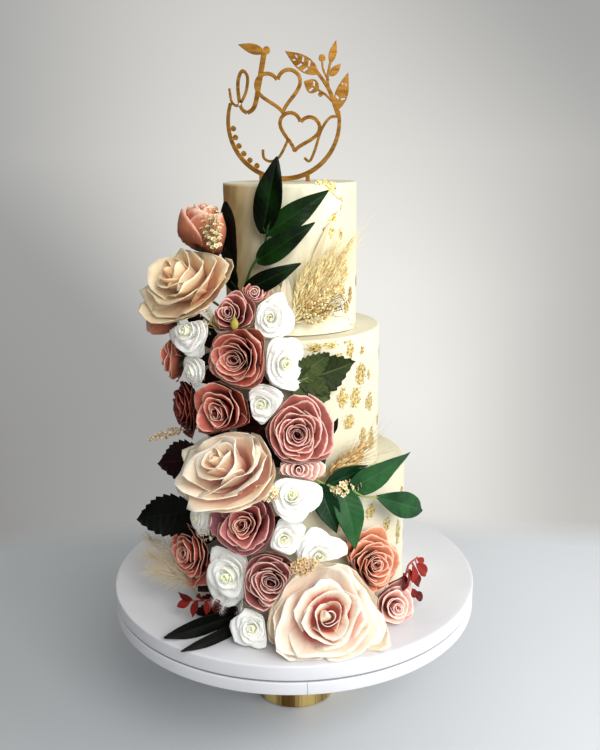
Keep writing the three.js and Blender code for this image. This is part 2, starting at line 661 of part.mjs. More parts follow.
function clusterSolid(cluster, index) {
  const random = makeRandom(71 + index);
  const [wide, deep, tall] = cluster.spread;
  const centre = place(cluster.at);
  const turn = rad(cluster.at[0]);
  const settle = (point) => point.applyAxisAngle(new THREE.Vector3(0, 0, 1), turn).add(centre);
  const blob = (at, radius, squash) => {
    const ball = new THREE.OctahedronGeometry(radius, 0).scale(...squash);
    return toSolid(ball.translate(at.x, at.y, at.z));
  };
  let solid = blob(centre, 1, [0.8 * wide, 0.8 * Math.max(deep, 3), 0.8 * tall]);
  for (let i = 0; i < cluster.beads; i++) {
    // Beads lie on a golden-angle spiral over the core, so that they cover it evenly.
    const height = 1 - (2 * (i + 0.5)) / cluster.beads;
    const angle = i * 2.39996;
    const flat = Math.sqrt(1 - height * height);
    const at = new THREE.Vector3(flat * Math.cos(angle), flat * Math.sin(angle), height);
    at.multiply(new THREE.Vector3(wide, deep, tall));
    at.multiplyScalar(0.62 + 0.2 * random());
    solid = solid.add(blob(settle(at), cluster.bead * (0.8 + 0.4 * random()), [1, 1, 1]));
  }
  return solid;
}

// ---------------------------------------------------------------- topper

// A ribbon of even or tapering width along a flat curve, as an outline.
function ribbonShape(points, width, closed = false) {
  const left = [];
  const right = [];
  const count = points.length;
  points.forEach((point, i) => {
    const before = points[closed ? (i + count - 1) % count : Math.max(i - 1, 0)];
    const after = points[closed ? (i + 1) % count : Math.min(i + 1, count - 1)];
    const side = after.clone().sub(before).normalize().rotateAround(new THREE.Vector2(), Math.PI / 2);
    const half = (typeof width === "function" ? width(i / (count - 1)) : width) / 2;
    left.push(point.clone().addScaledVector(side, half));
    right.push(point.clone().addScaledVector(side, -half));
  });
  if (!closed) return [new THREE.Shape([...right, ...left.reverse()])];
  const [outer, inner] = THREE.ShapeUtils.area(left) > 0 ? [right, left] : [left, right];
  const ring = new THREE.Shape(outer);
  ring.holes.push(new THREE.Path(inner));
  return [ring];
}

function curvePoints(count, at) {
  return Array.from({ length: count }, (_, i) => new THREE.Vector2(...at(i / (count - 1))));
}

// The two halves of a heart, each a curve from the notch at the top to the point at the bottom.
function heart(x, y, size, tilt) {
  return [-1, 1].map((side) =>
    curvePoints(8, (t) => {
      const a = Math.PI * (0.09 + 0.91 * t);
      const hx = (side * size * 16 * Math.sin(a) ** 3) / 34;
      const wave = 13 * Math.cos(a) - 5 * Math.cos(2 * a) - 2 * Math.cos(3 * a) - Math.cos(4 * a);
      const hy = (size * wave) / 34;
      return [x + hx * Math.cos(tilt) - hy * Math.sin(tilt), y + hx * Math.sin(tilt) + hy * Math.cos(tilt)];
    }),
  );
}

// A pointed leaf from one point towards another, with slits cut beside its midrib.
function leafShape(x, y, length, width, direction, slits) {
  const a = rad(direction);
  const at = (s, w) => [x + s * Math.cos(a) - w * Math.sin(a), y + s * Math.sin(a) + w * Math.cos(a)];
  const halfWidth = (t) => (width / 2) * Math.sin(Math.PI * t ** 0.8);
  const edge = (sign) => curvePoints(slits ? 7 : 5, (t) => at(length * t, sign * halfWidth(t)));
  const shape = new THREE.Shape([...edge(-1), ...edge(1).reverse().slice(1, -1)]);
  for (let i = 0; i < slits; i++) {
    const s = length * (0.28 + (0.36 * i) / Math.max(1, slits - 1));
    for (const sign of [-1, 1]) {
      const [near, far] = [sign * 0.9, sign * (halfWidth((s + 4) / length) - 1.3)];
      const slit = [at(s, near), at(s + 2.2, near), at(s + 4, far), at(s + 2, far)];
      shape.holes.push(new THREE.Path(slit.map((p) => new THREE.Vector2(...p))));
    }
  }
  return [shape];
}

function dot(x, y, radius) {
  return [new THREE.Shape(curvePoints(7, (t) => {
    const a = t * 2 * Math.PI;
    return [x + radius * Math.cos(a), y + radius * Math.sin(a)];
  }).slice(0, -1))];
}

// A smooth curve through a few points.
function through(points, count) {
  return new THREE.SplineCurve(points.map(([x, y]) => new THREE.Vector2(x, y))).getPoints(count - 1);
}

// The flat ornament, about the ring's middle: an open ring with two linked hearts, swashes, a row
// of beads and a leafy spray.
function topperShapes() {
  const R = TOPPER.radius;
  const onRing = (degrees, r = R) => [r * Math.cos(rad(degrees)), r * Math.sin(rad(degrees))];
  const shapes = [];
  const stroke = (points, width = TOPPER.stroke) => shapes.push(...ribbonShape(points, width));
  const bandWidth = (t) => TOPPER.band * (0.68 + 0.32 * Math.sin(Math.PI * t));
  stroke(curvePoints(23, (t) => onRing(161 + 209 * t)), bandWidth);
  for (const half of [...heart(-4, 29, 44, 0.16), ...heart(14, -8, 40, -0.22)]) stroke(half);
  // Swashes: a tall one rising from the ring's left end, and two small ones low down.
  const loop = [[-50, 30], [-48, 18], [-42, 15], [-35, 26], [-33, 40], [-38, 45], [-42, 34], [-40, 14], [-34, 8]];
  stroke(through(loop, 13), (t) => 2.2 + 1.4 * t);
  stroke(through([[-34, 8], [-27, 14], [-22, 36], [-17, 62]], 6), (t) => 3.6 + 1.6 * t);
  shapes.push(...leafShape(-16, 61, 26, 9, 164, 0), ...dot(-15, 63, 3.4));
  stroke(through([[-20, -25], [-19, -33], [-12, -36], [-4, -31], [4, -16]], 7), 2.6);
  stroke(through([[51, 4], [43, 3], [35, -8], [29, -26], [24, -36], [19, -33]], 8), 2.6);
  for (let i = 0; i < 6; i++) shapes.push(...dot(...onRing(187 + 10 * i, R - 4.4), 2.6));
  // The spray grows on from the ring's right end.
  stroke(through([[51, 6], [48, 14], [43, 27], [38, 35], [29, 47]], 6), (t) => 4.6 - 1.8 * t);
  stroke(through([[43, 26], [41, 38], [44, 54]], 4), 2.4);
  stroke(through([[47, 16], [40, 23], [31, 29]], 4), 2.2);
  stroke(through([[42, 36], [37, 46], [36, 55]], 4), 1.9);
  shapes.push(...leafShape(33, 42, 37, 14, 147, 3));
  shapes.push(...leafShape(49, 9, 36, 12, 72, 2));
  shapes.push(...leafShape(43.5, 51, 21, 7, 75, 0));
  shapes.push(...leafShape(43, 40, 15, 7, 46, 0));
  shapes.push(...leafShape(33, 28, 16, 13, 152, 1));
  shapes.push(...dot(36, 56, 3.2), ...dot(34.5, 24, 2.2));
  return shapes;
}

function topperSolid() {
  const slab = (shape) => {
    const flat = new THREE.ExtrudeGeometry(shape, { depth: TOPPER.thick, bevelEnabled: false });
    return facingOut(flat.rotateX(Math.PI / 2).translate(0, TOPPER.thick / 2, 0));
  };
  let solid = topperShapes().map(slab).reduce((all, part) => all.add(part));
  const bottom = -TOPPER.rise - TOPPER.prongDepth;
  for (const x of TOPPER.prongs) {
    const top = -Math.sqrt(TOPPER.radius ** 2 - x ** 2);
    const prong = new THREE.BoxGeometry(TOPPER.prongWidth, TOPPER.thick, top - bottom);
    solid = solid.add(toSolid(prong.translate(x, 0, (top + bottom) / 2)));
  }
  return mainBody(solid).translate([TOPPER.shift, 0, TOP_TIER.top + TOPPER.rise]);
}

// ---------------------------------------------------------------- the cake

const cake = new THREE.Group();

const discTop = STAND.footHeight + STAND.discThick;
const foot = roundSlab(STAND.footRadius, 0, STAND.footHeight, 0, STAND.edge, ROUND_SIDES);
const disc = roundSlab(STAND.discRadius, STAND.footHeight, discTop, STAND.edge, STAND.edge, ROUND_SIDES);
const board = roundSlab(BOARD.radius, discTop, BOARD_TOP, BOARD.edge, BOARD.edge, ROUND_SIDES);
cake.add(makeMesh("stand_foot", toGeometry(facingOut(foot)), 0xb08d4a, 0.3, 1));
cake.add(makeMesh("stand_disc", toGeometry(facingOut(disc)), 0xf1f1f2, 0.45));
cake.add(makeMesh("cake_board", toGeometry(facingOut(board)), 0xf3f2f2, 0.5));

const tierSolids = TIERS.map(tierSolid);
tierSolids[2] = prongSlots().reduce((tier, slot) => tier.subtract(slot), tierSolids[2]);
TIERS.forEach((tier, i) => {
  cake.add(makeMesh(tier.name, toGeometry(eased(tierSolids[i], 0.05)), ICING_COLOR, 0.6));
});
cake.add(makeMesh("wafer_sheet", toGeometry(waferSheet()), WAFER.color, 0.7));
cake.add(makeMesh("topper", toGeometry(eased(topperSolid(), 0.16)), GOLD, 0.25, 0.9));

// What is already placed, each with a copy grown by the gap: later pieces are cut clear of both.
const placed = [];
function keepClearOf(solid) {
  const grown = toGeometry(solid);
  grown.computeVertexNormals();
  const { position, normal } = grown.attributes;
  for (let i = 0; i < position.array.length; i++) position.array[i] += 1.4 * GAP * normal.array[i];
  placed.push(solid, toSolid(grown));
}

// The same solid with the slivers that joining and cutting leave behind taken out.
function eased(solid, tolerance) {
  return solid.asOriginal().simplify(tolerance);
}

function boxesMeet(a, b) {
  return [0, 1, 2].every((i) => a.min[i] < b.max[i] && b.min[i] < a.max[i]);
}

function cutClear(solid) {
  let left = solid;
  for (const other of placed) {
    if (boxesMeet(left.boundingBox(), other.boundingBox())) left = left.subtract(other);
  }
  return mainBody(left);
}

ROSES.forEach((rose, i) => {
  const geometry = roseGeometry(rose, i);
  const solid = facingOut(geometry);
  keepClearOf(solid);
  cake.add(makeMesh(rose.name, toGeometry(solid), rose.color ?? KINDS[rose.kind].color));
});

// The tiers, the board and the wafer paper, swollen by the gap, also cut what is placed from here on.
TIERS.forEach((tier) => {
  const radius = tier.radius + FLAKE.proud + GAP;
  placed.push(facingOut(roundSlab(radius, tier.foot - GAP, tier.top + GAP, 0, 0, ROUND_SIDES)));
});
placed.push(facingOut(roundSlab(BOARD.radius, discTop, BOARD_TOP + GAP, 0, 0, ROUND_SIDES)));
const waferRadius = TOP_TIER.radius + 2 * GAP + WAFER.thick;
placed.push(facingOut(roundSlab(waferRadius + GAP, TOP_TIER.foot, TOP_TIER.top, 0, 0, ROUND_SIDES)));

const soft = [
  ...SPRIGS.map((sprig) => ({ ...sprig, solid: sprigSolid(sprig) })),
  ...EARS.map((ear) => ({ ...ear, solid: earSolid(ear) })),
  ...CLUSTERS.map((cluster, i) => ({ ...cluster, solid: clusterSolid(cluster, i) })),
];
for (const piece of soft) {
  const solid = cutClear(piece.solid);
  keepClearOf(solid);
  cake.add(makeMesh(piece.name, toGeometry(eased(solid, 0.28)), piece.color));
}

export default cake;
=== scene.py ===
# %% [markdown]
# # A tiered wedding cake with a cascade of roses
# The cake stands on a white board, the board on the disc of a pedestal stand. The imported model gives
# every piece its place: three tiers, a torn sheet of wafer paper, a flat topper, and the flowers, leaves
# and dried ears of the cascade. Here each of them gets its real surface. Everything is in metres, and a
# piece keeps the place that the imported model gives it.

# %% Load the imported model
import math

import bpy
import numpy as np
from mathutils import Matrix, Vector


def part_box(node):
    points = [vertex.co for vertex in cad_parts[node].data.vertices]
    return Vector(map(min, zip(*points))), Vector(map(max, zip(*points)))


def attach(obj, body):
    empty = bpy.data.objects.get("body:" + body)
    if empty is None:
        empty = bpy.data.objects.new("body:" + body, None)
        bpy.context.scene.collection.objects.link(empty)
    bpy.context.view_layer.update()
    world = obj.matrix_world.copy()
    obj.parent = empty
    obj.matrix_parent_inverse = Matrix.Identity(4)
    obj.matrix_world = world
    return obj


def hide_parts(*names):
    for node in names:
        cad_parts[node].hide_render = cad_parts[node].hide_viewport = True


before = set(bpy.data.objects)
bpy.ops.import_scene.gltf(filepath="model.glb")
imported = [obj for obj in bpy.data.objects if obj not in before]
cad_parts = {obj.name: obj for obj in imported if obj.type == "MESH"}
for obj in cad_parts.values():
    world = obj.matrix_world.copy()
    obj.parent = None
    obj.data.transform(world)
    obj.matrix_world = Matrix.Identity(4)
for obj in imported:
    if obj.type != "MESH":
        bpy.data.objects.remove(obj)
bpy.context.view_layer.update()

# %% [markdown]
# Places round the cake are easiest to give as a florist would: how far round from the front, how far out
# from the cake's axis, and how far up from the board. `place` turns such a triple into a point. The
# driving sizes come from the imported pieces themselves, so the looks can't drift away from the model.

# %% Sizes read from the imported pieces
MM = 0.001
UP = np.array([0.0, 0.0, 1.0])
LEVEL = np.array([1.0, 1.0, 0.0])


def box_of(node):
    """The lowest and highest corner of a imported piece."""
    return [np.array(corner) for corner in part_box(node)]


FOOT_HIGH = box_of("stand_foot")[1]
DISC_LOW, DISC_HIGH = box_of("stand_disc")
BOARD_LOW, BOARD_HIGH = box_of("cake_board")
BOARD_TOP = BOARD_HIGH[2]


def place(spot):
    """A point in metres from [degrees round from the front, mm out from the axis, mm above the board]."""
    around, out, up = math.radians(spot[0]), spot[1] * MM, spot[2] * MM
    return np.array([out * math.sin(around), -out * math.cos(around), BOARD_TOP + up])


def unit(vectors):
    return vectors / np.maximum(np.linalg.norm(vectors, axis=-1, keepdims=True), 1e-12)


print("board top at", round(BOARD_TOP, 4), "m")

# %% [markdown]
# Both shaders and Geometry Nodes are wired from small boxes. Most of the boxes only do arithmetic, and a
# chain of thirty of them is hard to read back. `Wire` stands for what comes out of a box: ordinary `+`,
# `*` or `**` on it adds the matching Math box, so that a formula is written as a formula. `Wiring` is a
# tree of such boxes. Colours are chosen as they would be read from a colour card, as red, green and blue
# from 0 to 255. Shaders work with light, which is not spaced like such a card, so `colour` converts them.

# %% Node trees written as arithmetic
def colour(red, green, blue):
    """A shader colour from a colour-card value."""
    shares = [level / 255 for level in (red, green, blue)]
    light = [share / 12.92 if share <= 0.04045 else ((share + 0.055) / 1.055) ** 2.4 for share in shares]
    return (*light, 1.0)


def adds(operation):
    """A method of a wire that adds the Math box of this operation."""
    return lambda wire, *others: wire.wiring.box("ShaderNodeMath", wire, *others, operation=operation)


class Wire:
    """What comes out of a box. Arithmetic on it adds Math boxes."""

    def __init__(self, wiring, socket):
        self.wiring = wiring
        self.socket = socket

    def __rsub__(self, other):
        return self.wiring.box("ShaderNodeMath", other, self, operation="SUBTRACT")

    __add__ = __radd__ = adds("ADD")
    __sub__ = adds("SUBTRACT")
    __mul__ = __rmul__ = adds("MULTIPLY")
    __truediv__ = adds("DIVIDE")
    __pow__ = adds("POWER")
    at_least = adds("MAXIMUM")
    at_most = adds("MINIMUM")
    size = adds("ABSOLUTE")
    fraction = adds("FRACT")
    sin = adds("SINE")
    cos = adds("COSINE")


class Wiring:
    """A node tree and the boxes that are added to it."""

    def __init__(self, tree):
        self.tree = tree

    def feed(self, socket, value):
        """Links a wire to a socket, or sets a steady value on it."""
        if isinstance(value, Wire):
            self.tree.links.new(value.socket, socket)
        else:
            socket.default_value = value

    def node(self, kind, *inputs, **named):
        """Adds a box. Names in small letters are its settings, others its sockets; in6 is socket 6."""
        node = self.tree.nodes.new(kind)
        fed = dict(enumerate(inputs))
        for name, value in named.items():
            if name[2:].isdigit():
                fed[int(name[2:])] = value
            elif name[0].isupper():
                fed[name.replace("_", " ")] = value
            else:
                setattr(node, name, value)
        for key, value in fed.items():
            self.feed(node.inputs[key], value)
        return node

    def box(self, kind, *inputs, out=0, **named):
        """Adds a box and gives the wire that comes out of it."""
        return Wire(self, self.node(kind, *inputs, **named).outputs[out])

    def vector(self, x=0.0, y=0.0, z=0.0):
        return self.box("ShaderNodeCombineXYZ", x, y, z)

    def parts(self, vector):
        """The x, y and z of a vector."""
        return [Wire(self, end) for end in self.node("ShaderNodeSeparateXYZ", vector).outputs]

    def spread(self, amount, low, high, to_low=0.0, to_high=1.0):
        """Stretches a number from one range to another, held at both ends."""
        return self.box("ShaderNodeMapRange", amount, low, high, to_low, to_high)

    def noise(self, scale, detail=3.0, where=None, **more):
        """Cloudy noise, in the object's own coordinates unless told where."""
        return self.box("ShaderNodeTexNoise", Scale=scale, Detail=detail, Vector=where or self.here(), **more)

    def steps(self, amount, stops, smooth=True):
        """A colour ramp: stops are (position, card colour)."""
        node = self.node("ShaderNodeValToRGB", amount)
        ramp = node.color_ramp
        ramp.interpolation = "EASE" if smooth else "LINEAR"
        while len(ramp.elements) < len(stops):
            ramp.elements.new(1.0)
        for element, (position, card) in zip(ramp.elements, stops):
            element.position = position
            element.color = colour(*card)
        return Wire(self, node.outputs[0])

    def blend(self, amount, first, second, mode="MIX"):
        """Mixes two colours, each a wire or a card colour."""
        pair = [shade if isinstance(shade, Wire) else colour(*shade) for shade in (first, second)]
        return self.box("ShaderNodeMix", data_type="RGBA", blend_type=mode, in0=amount, in6=pair[0],
                        in7=pair[1], out=2)

    def scaled(self, vector, amount):
        return self.box("ShaderNodeVectorMath", vector, operation="SCALE", Scale=amount)


print("a formula such as 2 + x * 3 becomes two Math boxes")

# %% [markdown]
# Every material starts the same way: a Principled shader, whose steady values are set on its own sockets.
# What changes over the surface, such as a vein or a cloudy patch, comes from noise in the object's own
# coordinates or from an attribute that the mesh carries. `Finish` keeps the few boxes that all need.

# %% Material helper
class Finish(Wiring):
    """A material being mixed: its Principled shader and the patterns that feed it."""

    def __init__(self, name, roughness, **steady):
        self.material = bpy.data.materials.new(name)
        self.material.use_nodes = True
        super().__init__(self.material.node_tree)
        self.shader = self.tree.nodes["Principled BSDF"]
        for socket, value in {"Roughness": roughness, **steady}.items():
            self.shader.inputs[socket.replace("_", " ")].default_value = value

    def here(self, stretch=(1, 1, 1)):
        """The object's own coordinates, stretched."""
        own = self.box("ShaderNodeTexCoord", out="Object")
        return self.box("ShaderNodeMapping", Vector=own, Scale=stretch)

    def carried(self, *labels):
        """Numbers that the mesh carries as attributes."""
        return [self.box("ShaderNodeAttribute", attribute_name=label, out="Fac") for label in labels]

    def paint(self, shade):
        self.feed(self.shader.inputs["Base Color"], shade)

    def shine(self, pattern, rough, smooth):
        """Roughness that goes from one value to another where the pattern goes from 0.3 to 0.7."""
        self.feed(self.shader.inputs["Roughness"], self.spread(pattern, 0.3, 0.7, rough, smooth))

    def grain(self, height, strength, distance):
        bump = self.box("ShaderNodeBump", Height=height, Strength=strength, Distance=distance)
        self.feed(self.shader.inputs["Normal"], bump)


print("materials read Object coordinates or attributes only")

# %% [markdown]
# Finished pieces sit at the origin with their place in their mesh. `make_piece` turns points and faces
# into such an object, `dress` says which imported piece it stands for, and `baked` turns an object
# with modifiers into plain mesh.

# %% Mesh helpers
def shown(name, data):
    """An object in the scene."""
    thing = bpy.data.objects.new(name, data)
    bpy.context.scene.collection.objects.link(thing)
    return thing


def make_piece(name, points, faces, material, smooth=True, carried=None):
    """A mesh object from points and faces, with numbers carried on its points."""
    mesh = bpy.data.meshes.new(name)
    mesh.from_pydata([tuple(point) for point in points], [], [tuple(face) for face in faces])
    for label, values in (carried or {}).items():
        mesh.attributes.new(label, "FLOAT", "POINT").data.foreach_set("value", np.asarray(values, np.float32))
    mesh.polygons.foreach_set("use_smooth", [smooth] * len(mesh.polygons))
    mesh.materials.append(material)
    return shown(name, mesh)


def applied(piece):
    """The mesh of an object with its modifiers or its curve worked out."""
    return bpy.data.meshes.new_from_object(piece.evaluated_get(bpy.context.evaluated_depsgraph_get()))


def baked(piece):
    """Applies all modifiers, so that the piece is plain mesh."""
    mesh = applied(piece)
    piece.modifiers.clear()
    piece.data = mesh
    mesh.name = piece.name
    return piece


def thickened(piece, thickness):
    """Gives a sheet its thickness, half to each side, and applies it."""
    skin = piece.modifiers.new("thick", "SOLIDIFY")
    skin.thickness = thickness
    skin.offset = 0
    return baked(piece)


def dress(piece, slot, *nodes):
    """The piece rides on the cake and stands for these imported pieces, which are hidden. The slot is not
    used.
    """
    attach(piece, "root")
    if nodes:
        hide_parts(*nodes)
    return piece


def made(maker, packed, fillers):
    """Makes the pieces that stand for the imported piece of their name, then those that only fill gaps."""
    pieces = [maker(name, *row, name) for name, row in packed.items()]
    return pieces + [maker(name, *row) for name, row in fillers.items()]


def points_of(mesh):
    """All points of a mesh as an array."""
    points = np.zeros(len(mesh.vertices) * 3, np.float32)
    mesh.vertices.foreach_get("co", points)
    return points.reshape(-1, 3).astype(float)


def faces_of(mesh):
    return [tuple(polygon.vertices) for polygon in mesh.polygons]


def set_points(piece, points):
    piece.data.vertices.foreach_set("co", np.asarray(points, np.float32).ravel())
    piece.data.update()


def grid_faces(rows, columns, closed=False):
    """Quads of a sheet of points, row by row; closed joins the last column to the first."""
    across = columns if closed else columns - 1
    return [
        (row * columns + c, row * columns + (c + 1) % columns,
         (row + 1) * columns + (c + 1) % columns, (row + 1) * columns + c)
        for row in range(rows - 1) for c in range(across)
    ]


def round_angles(sides):
    return np.arange(sides) * 2 * math.pi / sides


def turned(name, profile, material, sides):
    """A piece turned on a lathe: the profile is a list of (radius, height) from axis to axis."""
    angles = round_angles(sides)
    rings = [(r * np.sin(angles), -r * np.cos(angles), np.full(sides, z)) for r, z in profile[1:-1]]
    points = np.concatenate([np.stack(ring, axis=1) for ring in rings])
    count = len(points)
    ends = [(0, 0, profile[0][1]), (0, 0, profile[-1][1])]
    faces = grid_faces(len(rings), sides, closed=True)
    last = count - sides
    for s in range(sides):
        faces.append(((s + 1) % sides, s, count))
        faces.append((last + s, last + (s + 1) % sides, count + 1))
    return make_piece(name, list(points) + ends, faces, material)


def rounded(radius, low, high, ease, steps=4):
    """A profile for a disc with both rims rounded."""
    bends = [math.pi / 2 * i / steps for i in range(steps + 1)]
    rim = radius - ease
    lower = [(rim + ease * math.sin(a), low + ease - ease * math.cos(a)) for a in bends]
    upper = [(rim + ease * math.cos(a), high - ease + ease * math.sin(a)) for a in bends]
    return [(0, low), *[(rim * share, low) for share in (0.5, 0.98)], *lower,
            *upper, *[(rim * share, high) for share in (0.98, 0.5)], (0, high)]


def piled(parts):
    """Several (points, faces) as one."""
    points, faces, count = [], [], 0
    for part_points, part_faces in parts:
        points.append(np.asarray(part_points, float))
        faces += [tuple(count + corner for corner in face) for face in part_faces]
        count += len(part_points)
    return np.concatenate(points), faces


def taken_apart(piece, labels):
    """A plain piece's (points, faces) and its carried numbers; the piece itself is removed."""
    mesh = piece.data
    numbers = {}
    for label in labels:
        numbers[label] = np.zeros(len(mesh.vertices), np.float32)
        if label in mesh.attributes:
            mesh.attributes[label].data.foreach_get("value", numbers[label])
    parts = points_of(mesh), faces_of(mesh)
    bpy.data.objects.remove(piece)
    return parts, numbers


print("mesh helpers ready")

# %% [markdown]
# The camera looks slightly down on the cake, from the height of a person bending towards it: a little
# above the top of the upper tier, with a normal lens. Its turn is built from the three directions
# forward, right and up, which is easier to follow than three angles after each other.

# %% Camera
CAMERA_AT = (0.0, -0.8439, 0.5693)
CAMERA_DOWN = math.radians(14.42)
CAMERA_TURN = math.radians(0.537)
CAMERA_ROLL = math.radians(-0.546)
FOCAL_IN_PIXELS = 865.85
FRAME_HEIGHT = 750
SENSOR_MM = 36

forward = Vector((math.sin(CAMERA_TURN) * math.cos(CAMERA_DOWN),
                  math.cos(CAMERA_TURN) * math.cos(CAMERA_DOWN), -math.sin(CAMERA_DOWN)))
level_right = Vector((math.cos(CAMERA_TURN), -math.sin(CAMERA_TURN), 0))
level_up = level_right.cross(forward)
right = level_right * math.cos(CAMERA_ROLL) + level_up * math.sin(CAMERA_ROLL)
top = level_up * math.cos(CAMERA_ROLL) - level_right * math.sin(CAMERA_ROLL)

camera = shown("camera", bpy.data.cameras.new("camera"))
camera.data.sensor_width = SENSOR_MM
camera.data.lens = FOCAL_IN_PIXELS * SENSOR_MM / FRAME_HEIGHT
camera.matrix_world = Matrix.Translation(CAMERA_AT) @ Matrix((right, top, -forward)).transposed().to_4x4()
bpy.context.scene.camera = camera
print("lens", round(camera.data.lens, 2), "mm")

# %% [markdown]
# White icing and white roses need soft light that still comes from one side, or their folds vanish. One
# large soft window stands on the right, a second one in front.

# %% Windows
def soft_light(name, at, width, power, tint):
    """A square soft light that points at the middle of the cake."""
    lamp = bpy.data.lights.new(name, "AREA")
    lamp.shape = "SQUARE"
    lamp.size = width
    lamp.energy = power
    lamp.color = tint
    holder = shown(name, lamp)
    holder.location = at
    holder.rotation_euler = (Vector(CAKE_MIDDLE) - Vector(at)).to_track_quat("-Z", "Y").to_euler()
    return name


CAKE_MIDDLE = (0, 0, 0.33)
windows = [soft_light("window_right", (1.6, -0.7, 0.85), 0.9, 15, (1.0, 0.985, 0.96)),
           soft_light("window_front", (0.65, -1.5, 1.3), 1.0, 25, (1.0, 0.985, 0.95))]
print("lights:", windows)

# %% [markdown]
# The room round the cake is bright on the right and dim and warm on the left, so it is a ramp from left
# to right, from the direction that each ray of light comes from. The wall behind the cake is even, with a
# soft pool of light in its middle. Seen from any other side, the backdrop is plain and pale.

# %% Room
WALL_COLOURS = [(0.2, (88, 80, 72)), (0.37, (168, 168, 167)), (0.62, (212, 210, 204)), (0.8, (236, 238, 240))]
POOL_COLOUR = (250, 248, 242)
BACKDROP_COLOUR = (212, 213, 214)
ROOM_STRENGTH = 0.93

room = bpy.data.worlds.new("room")
room.use_nodes = True
air = Wiring(room.node_tree)
sideways, onward, upward = air.parts(air.box("ShaderNodeTexCoord", out="Generated"))
behind_cake = ((onward - 0.75) * 5).at_least(0).at_most(1)
contrast = (0.28 - upward * 1.1).at_least(0.14).at_most(0.6) - onward.at_most(0) * 0.5
side_to_side = sideways * contrast * (1 - behind_cake * 0.8) + 0.5 - behind_cake * 0.12
walls = air.steps(side_to_side, WALL_COLOURS, smooth=False)
pool_middle = 0.02 - upward * 0.36
pool_width = (0.43 - upward.size() * 0.6).at_least(0.1)
pool = (1 - ((sideways - pool_middle) / pool_width) ** 2).at_least(0) ** 2
pool = pool * (0.76 - upward * 1.6).at_most(1).at_least(0) * behind_cake
lit_wall = air.blend(pool, walls, POOL_COLOUR)
in_front = ((onward - 0.7) * 7).at_least(0).at_most(1)
elsewhere = air.box("ShaderNodeLightPath", out="Is Camera Ray") * (1 - in_front)
background = air.tree.nodes["Background"].inputs
air.feed(background["Color"], air.blend(elsewhere, lit_wall, BACKDROP_COLOUR))
air.feed(background["Strength"], ROOM_STRENGTH)
bpy.context.scene.world = room
bpy.context.scene.view_settings.view_transform = "Standard"
print("the room has", len(air.tree.nodes), "boxes")

# %% [markdown]
# The floor is a wide pale sheet that fades into the room, so that no hard edge shows. Its colour is
# painted darker on the left and lighter on the right: painted shade and light, as the windows light it.

# %% Floor
FLOOR_REACH = 6.0
FLOOR_DROP = 0.5 * MM
FLOOR_CORNERS = ((-1, -1), (1, -1), (1, 1), (-1, 1))
FADE_FROM, FADE_TO = 0.37, 0.46
FADE_SQUASH = (0.4, 1, 1)

floor_finish = Finish("floor_paper", 0.6)
clouds = floor_finish.noise(1.4, 2.0)
# painted light and shade: darker on the left, lighter on the right
painted_light_ramp = clouds * 0.3 + floor_finish.parts(floor_finish.here())[0]
floor_finish.paint(floor_finish.steps(painted_light_ramp, [(0.0, (184, 189, 194)), (0.5, (222, 227, 233))]))
from_cake = floor_finish.box("ShaderNodeVectorMath", floor_finish.here(FADE_SQUASH), operation="LENGTH",
                             out="Value")
mixed = floor_finish.box("ShaderNodeMixShader", floor_finish.spread(from_cake, FADE_FROM, FADE_TO),
                         Wire(floor_finish, floor_finish.shader.outputs[0]),
                         floor_finish.box("ShaderNodeBsdfTransparent"))
floor_finish.feed(floor_finish.tree.nodes["Material Output"].inputs["Surface"], mixed)
corners = [(x * FLOOR_REACH, y * FLOOR_REACH, -FLOOR_DROP) for x, y in FLOOR_CORNERS]
floor = make_piece("floor", corners, [(0, 1, 2, 3)], floor_finish.material, smooth=False)
print("the floor fades from", FADE_FROM, "to", FADE_TO, "m behind the cake's axis")

# %% [markdown]
# The stand's foot is a short drum of brushed gold metal. The brush ran up and down, so the fine scratches
# are noise squeezed round the drum and left long in height. Broad upright bands of darker and brighter
# gold are painted into its colour as reflections of the room.

# %% Stand foot
FOOT_EDGE = 1.5 * MM
FOOT_SIDES = 128
BRUSHING = (14, 14, 0.4)
REFLECTION_BAND_STRETCH = (1, 1, 0)
GOLD_AND_REFLECTION_TINTS = [(0.42, (126, 92, 44)), (0.56, (252, 222, 146))]

gold_metal = Finish("brushed_gold", 0.18, Metallic=1.0)
scratches = gold_metal.noise(30, 4.0, gold_metal.here(BRUSHING))
# painted reflections: broad upright bands of darker and brighter gold
painted_reflection_bands = gold_metal.noise(24, 0.0, gold_metal.here(REFLECTION_BAND_STRETCH))
gold_metal.paint(gold_metal.steps(scratches * 0.15 + painted_reflection_bands * 0.85, GOLD_AND_REFLECTION_TINTS))
gold_metal.shine(scratches, 0.08, 0.2)
gold_metal.grain(scratches, 0.12, 0.0002)

foot_profile = rounded(FOOT_HIGH[0], 0.0, FOOT_HIGH[2], FOOT_EDGE)
foot = dress(turned("foot_gold", foot_profile, gold_metal.material, FOOT_SIDES), "foot_gold", "stand_foot")
print("foot", len(foot.data.polygons), "faces")

# %% [markdown]
# The disc and the board on it are smooth white sheets with hardly any shine. Real ones have a soft
# rounded rim, faint clouding from handling, and on the stand's disc the hairline joint of the band round
# its rim. The joint is too fine for a mesh, so it is painted by its place. Where the board rests on the
# disc a dark line of shade runs round them: the disc's top is a little lower there, and that groove is
# also painted grey as shade.

# %% White disc and cake board
RIM_EDGE = 1.6 * MM
GROOVE, GROOVE_DEEP = 1.6 * MM, 12 * MM
JOINT_AT, JOINT_HALF = 10 * MM, 0.3 * MM
# grey of the painted shade in the groove, and of the joint's own dark line
GROOVE_SHADE_AND_JOINT_GREY = (128, 129, 132)
DISC_SIDES = 360

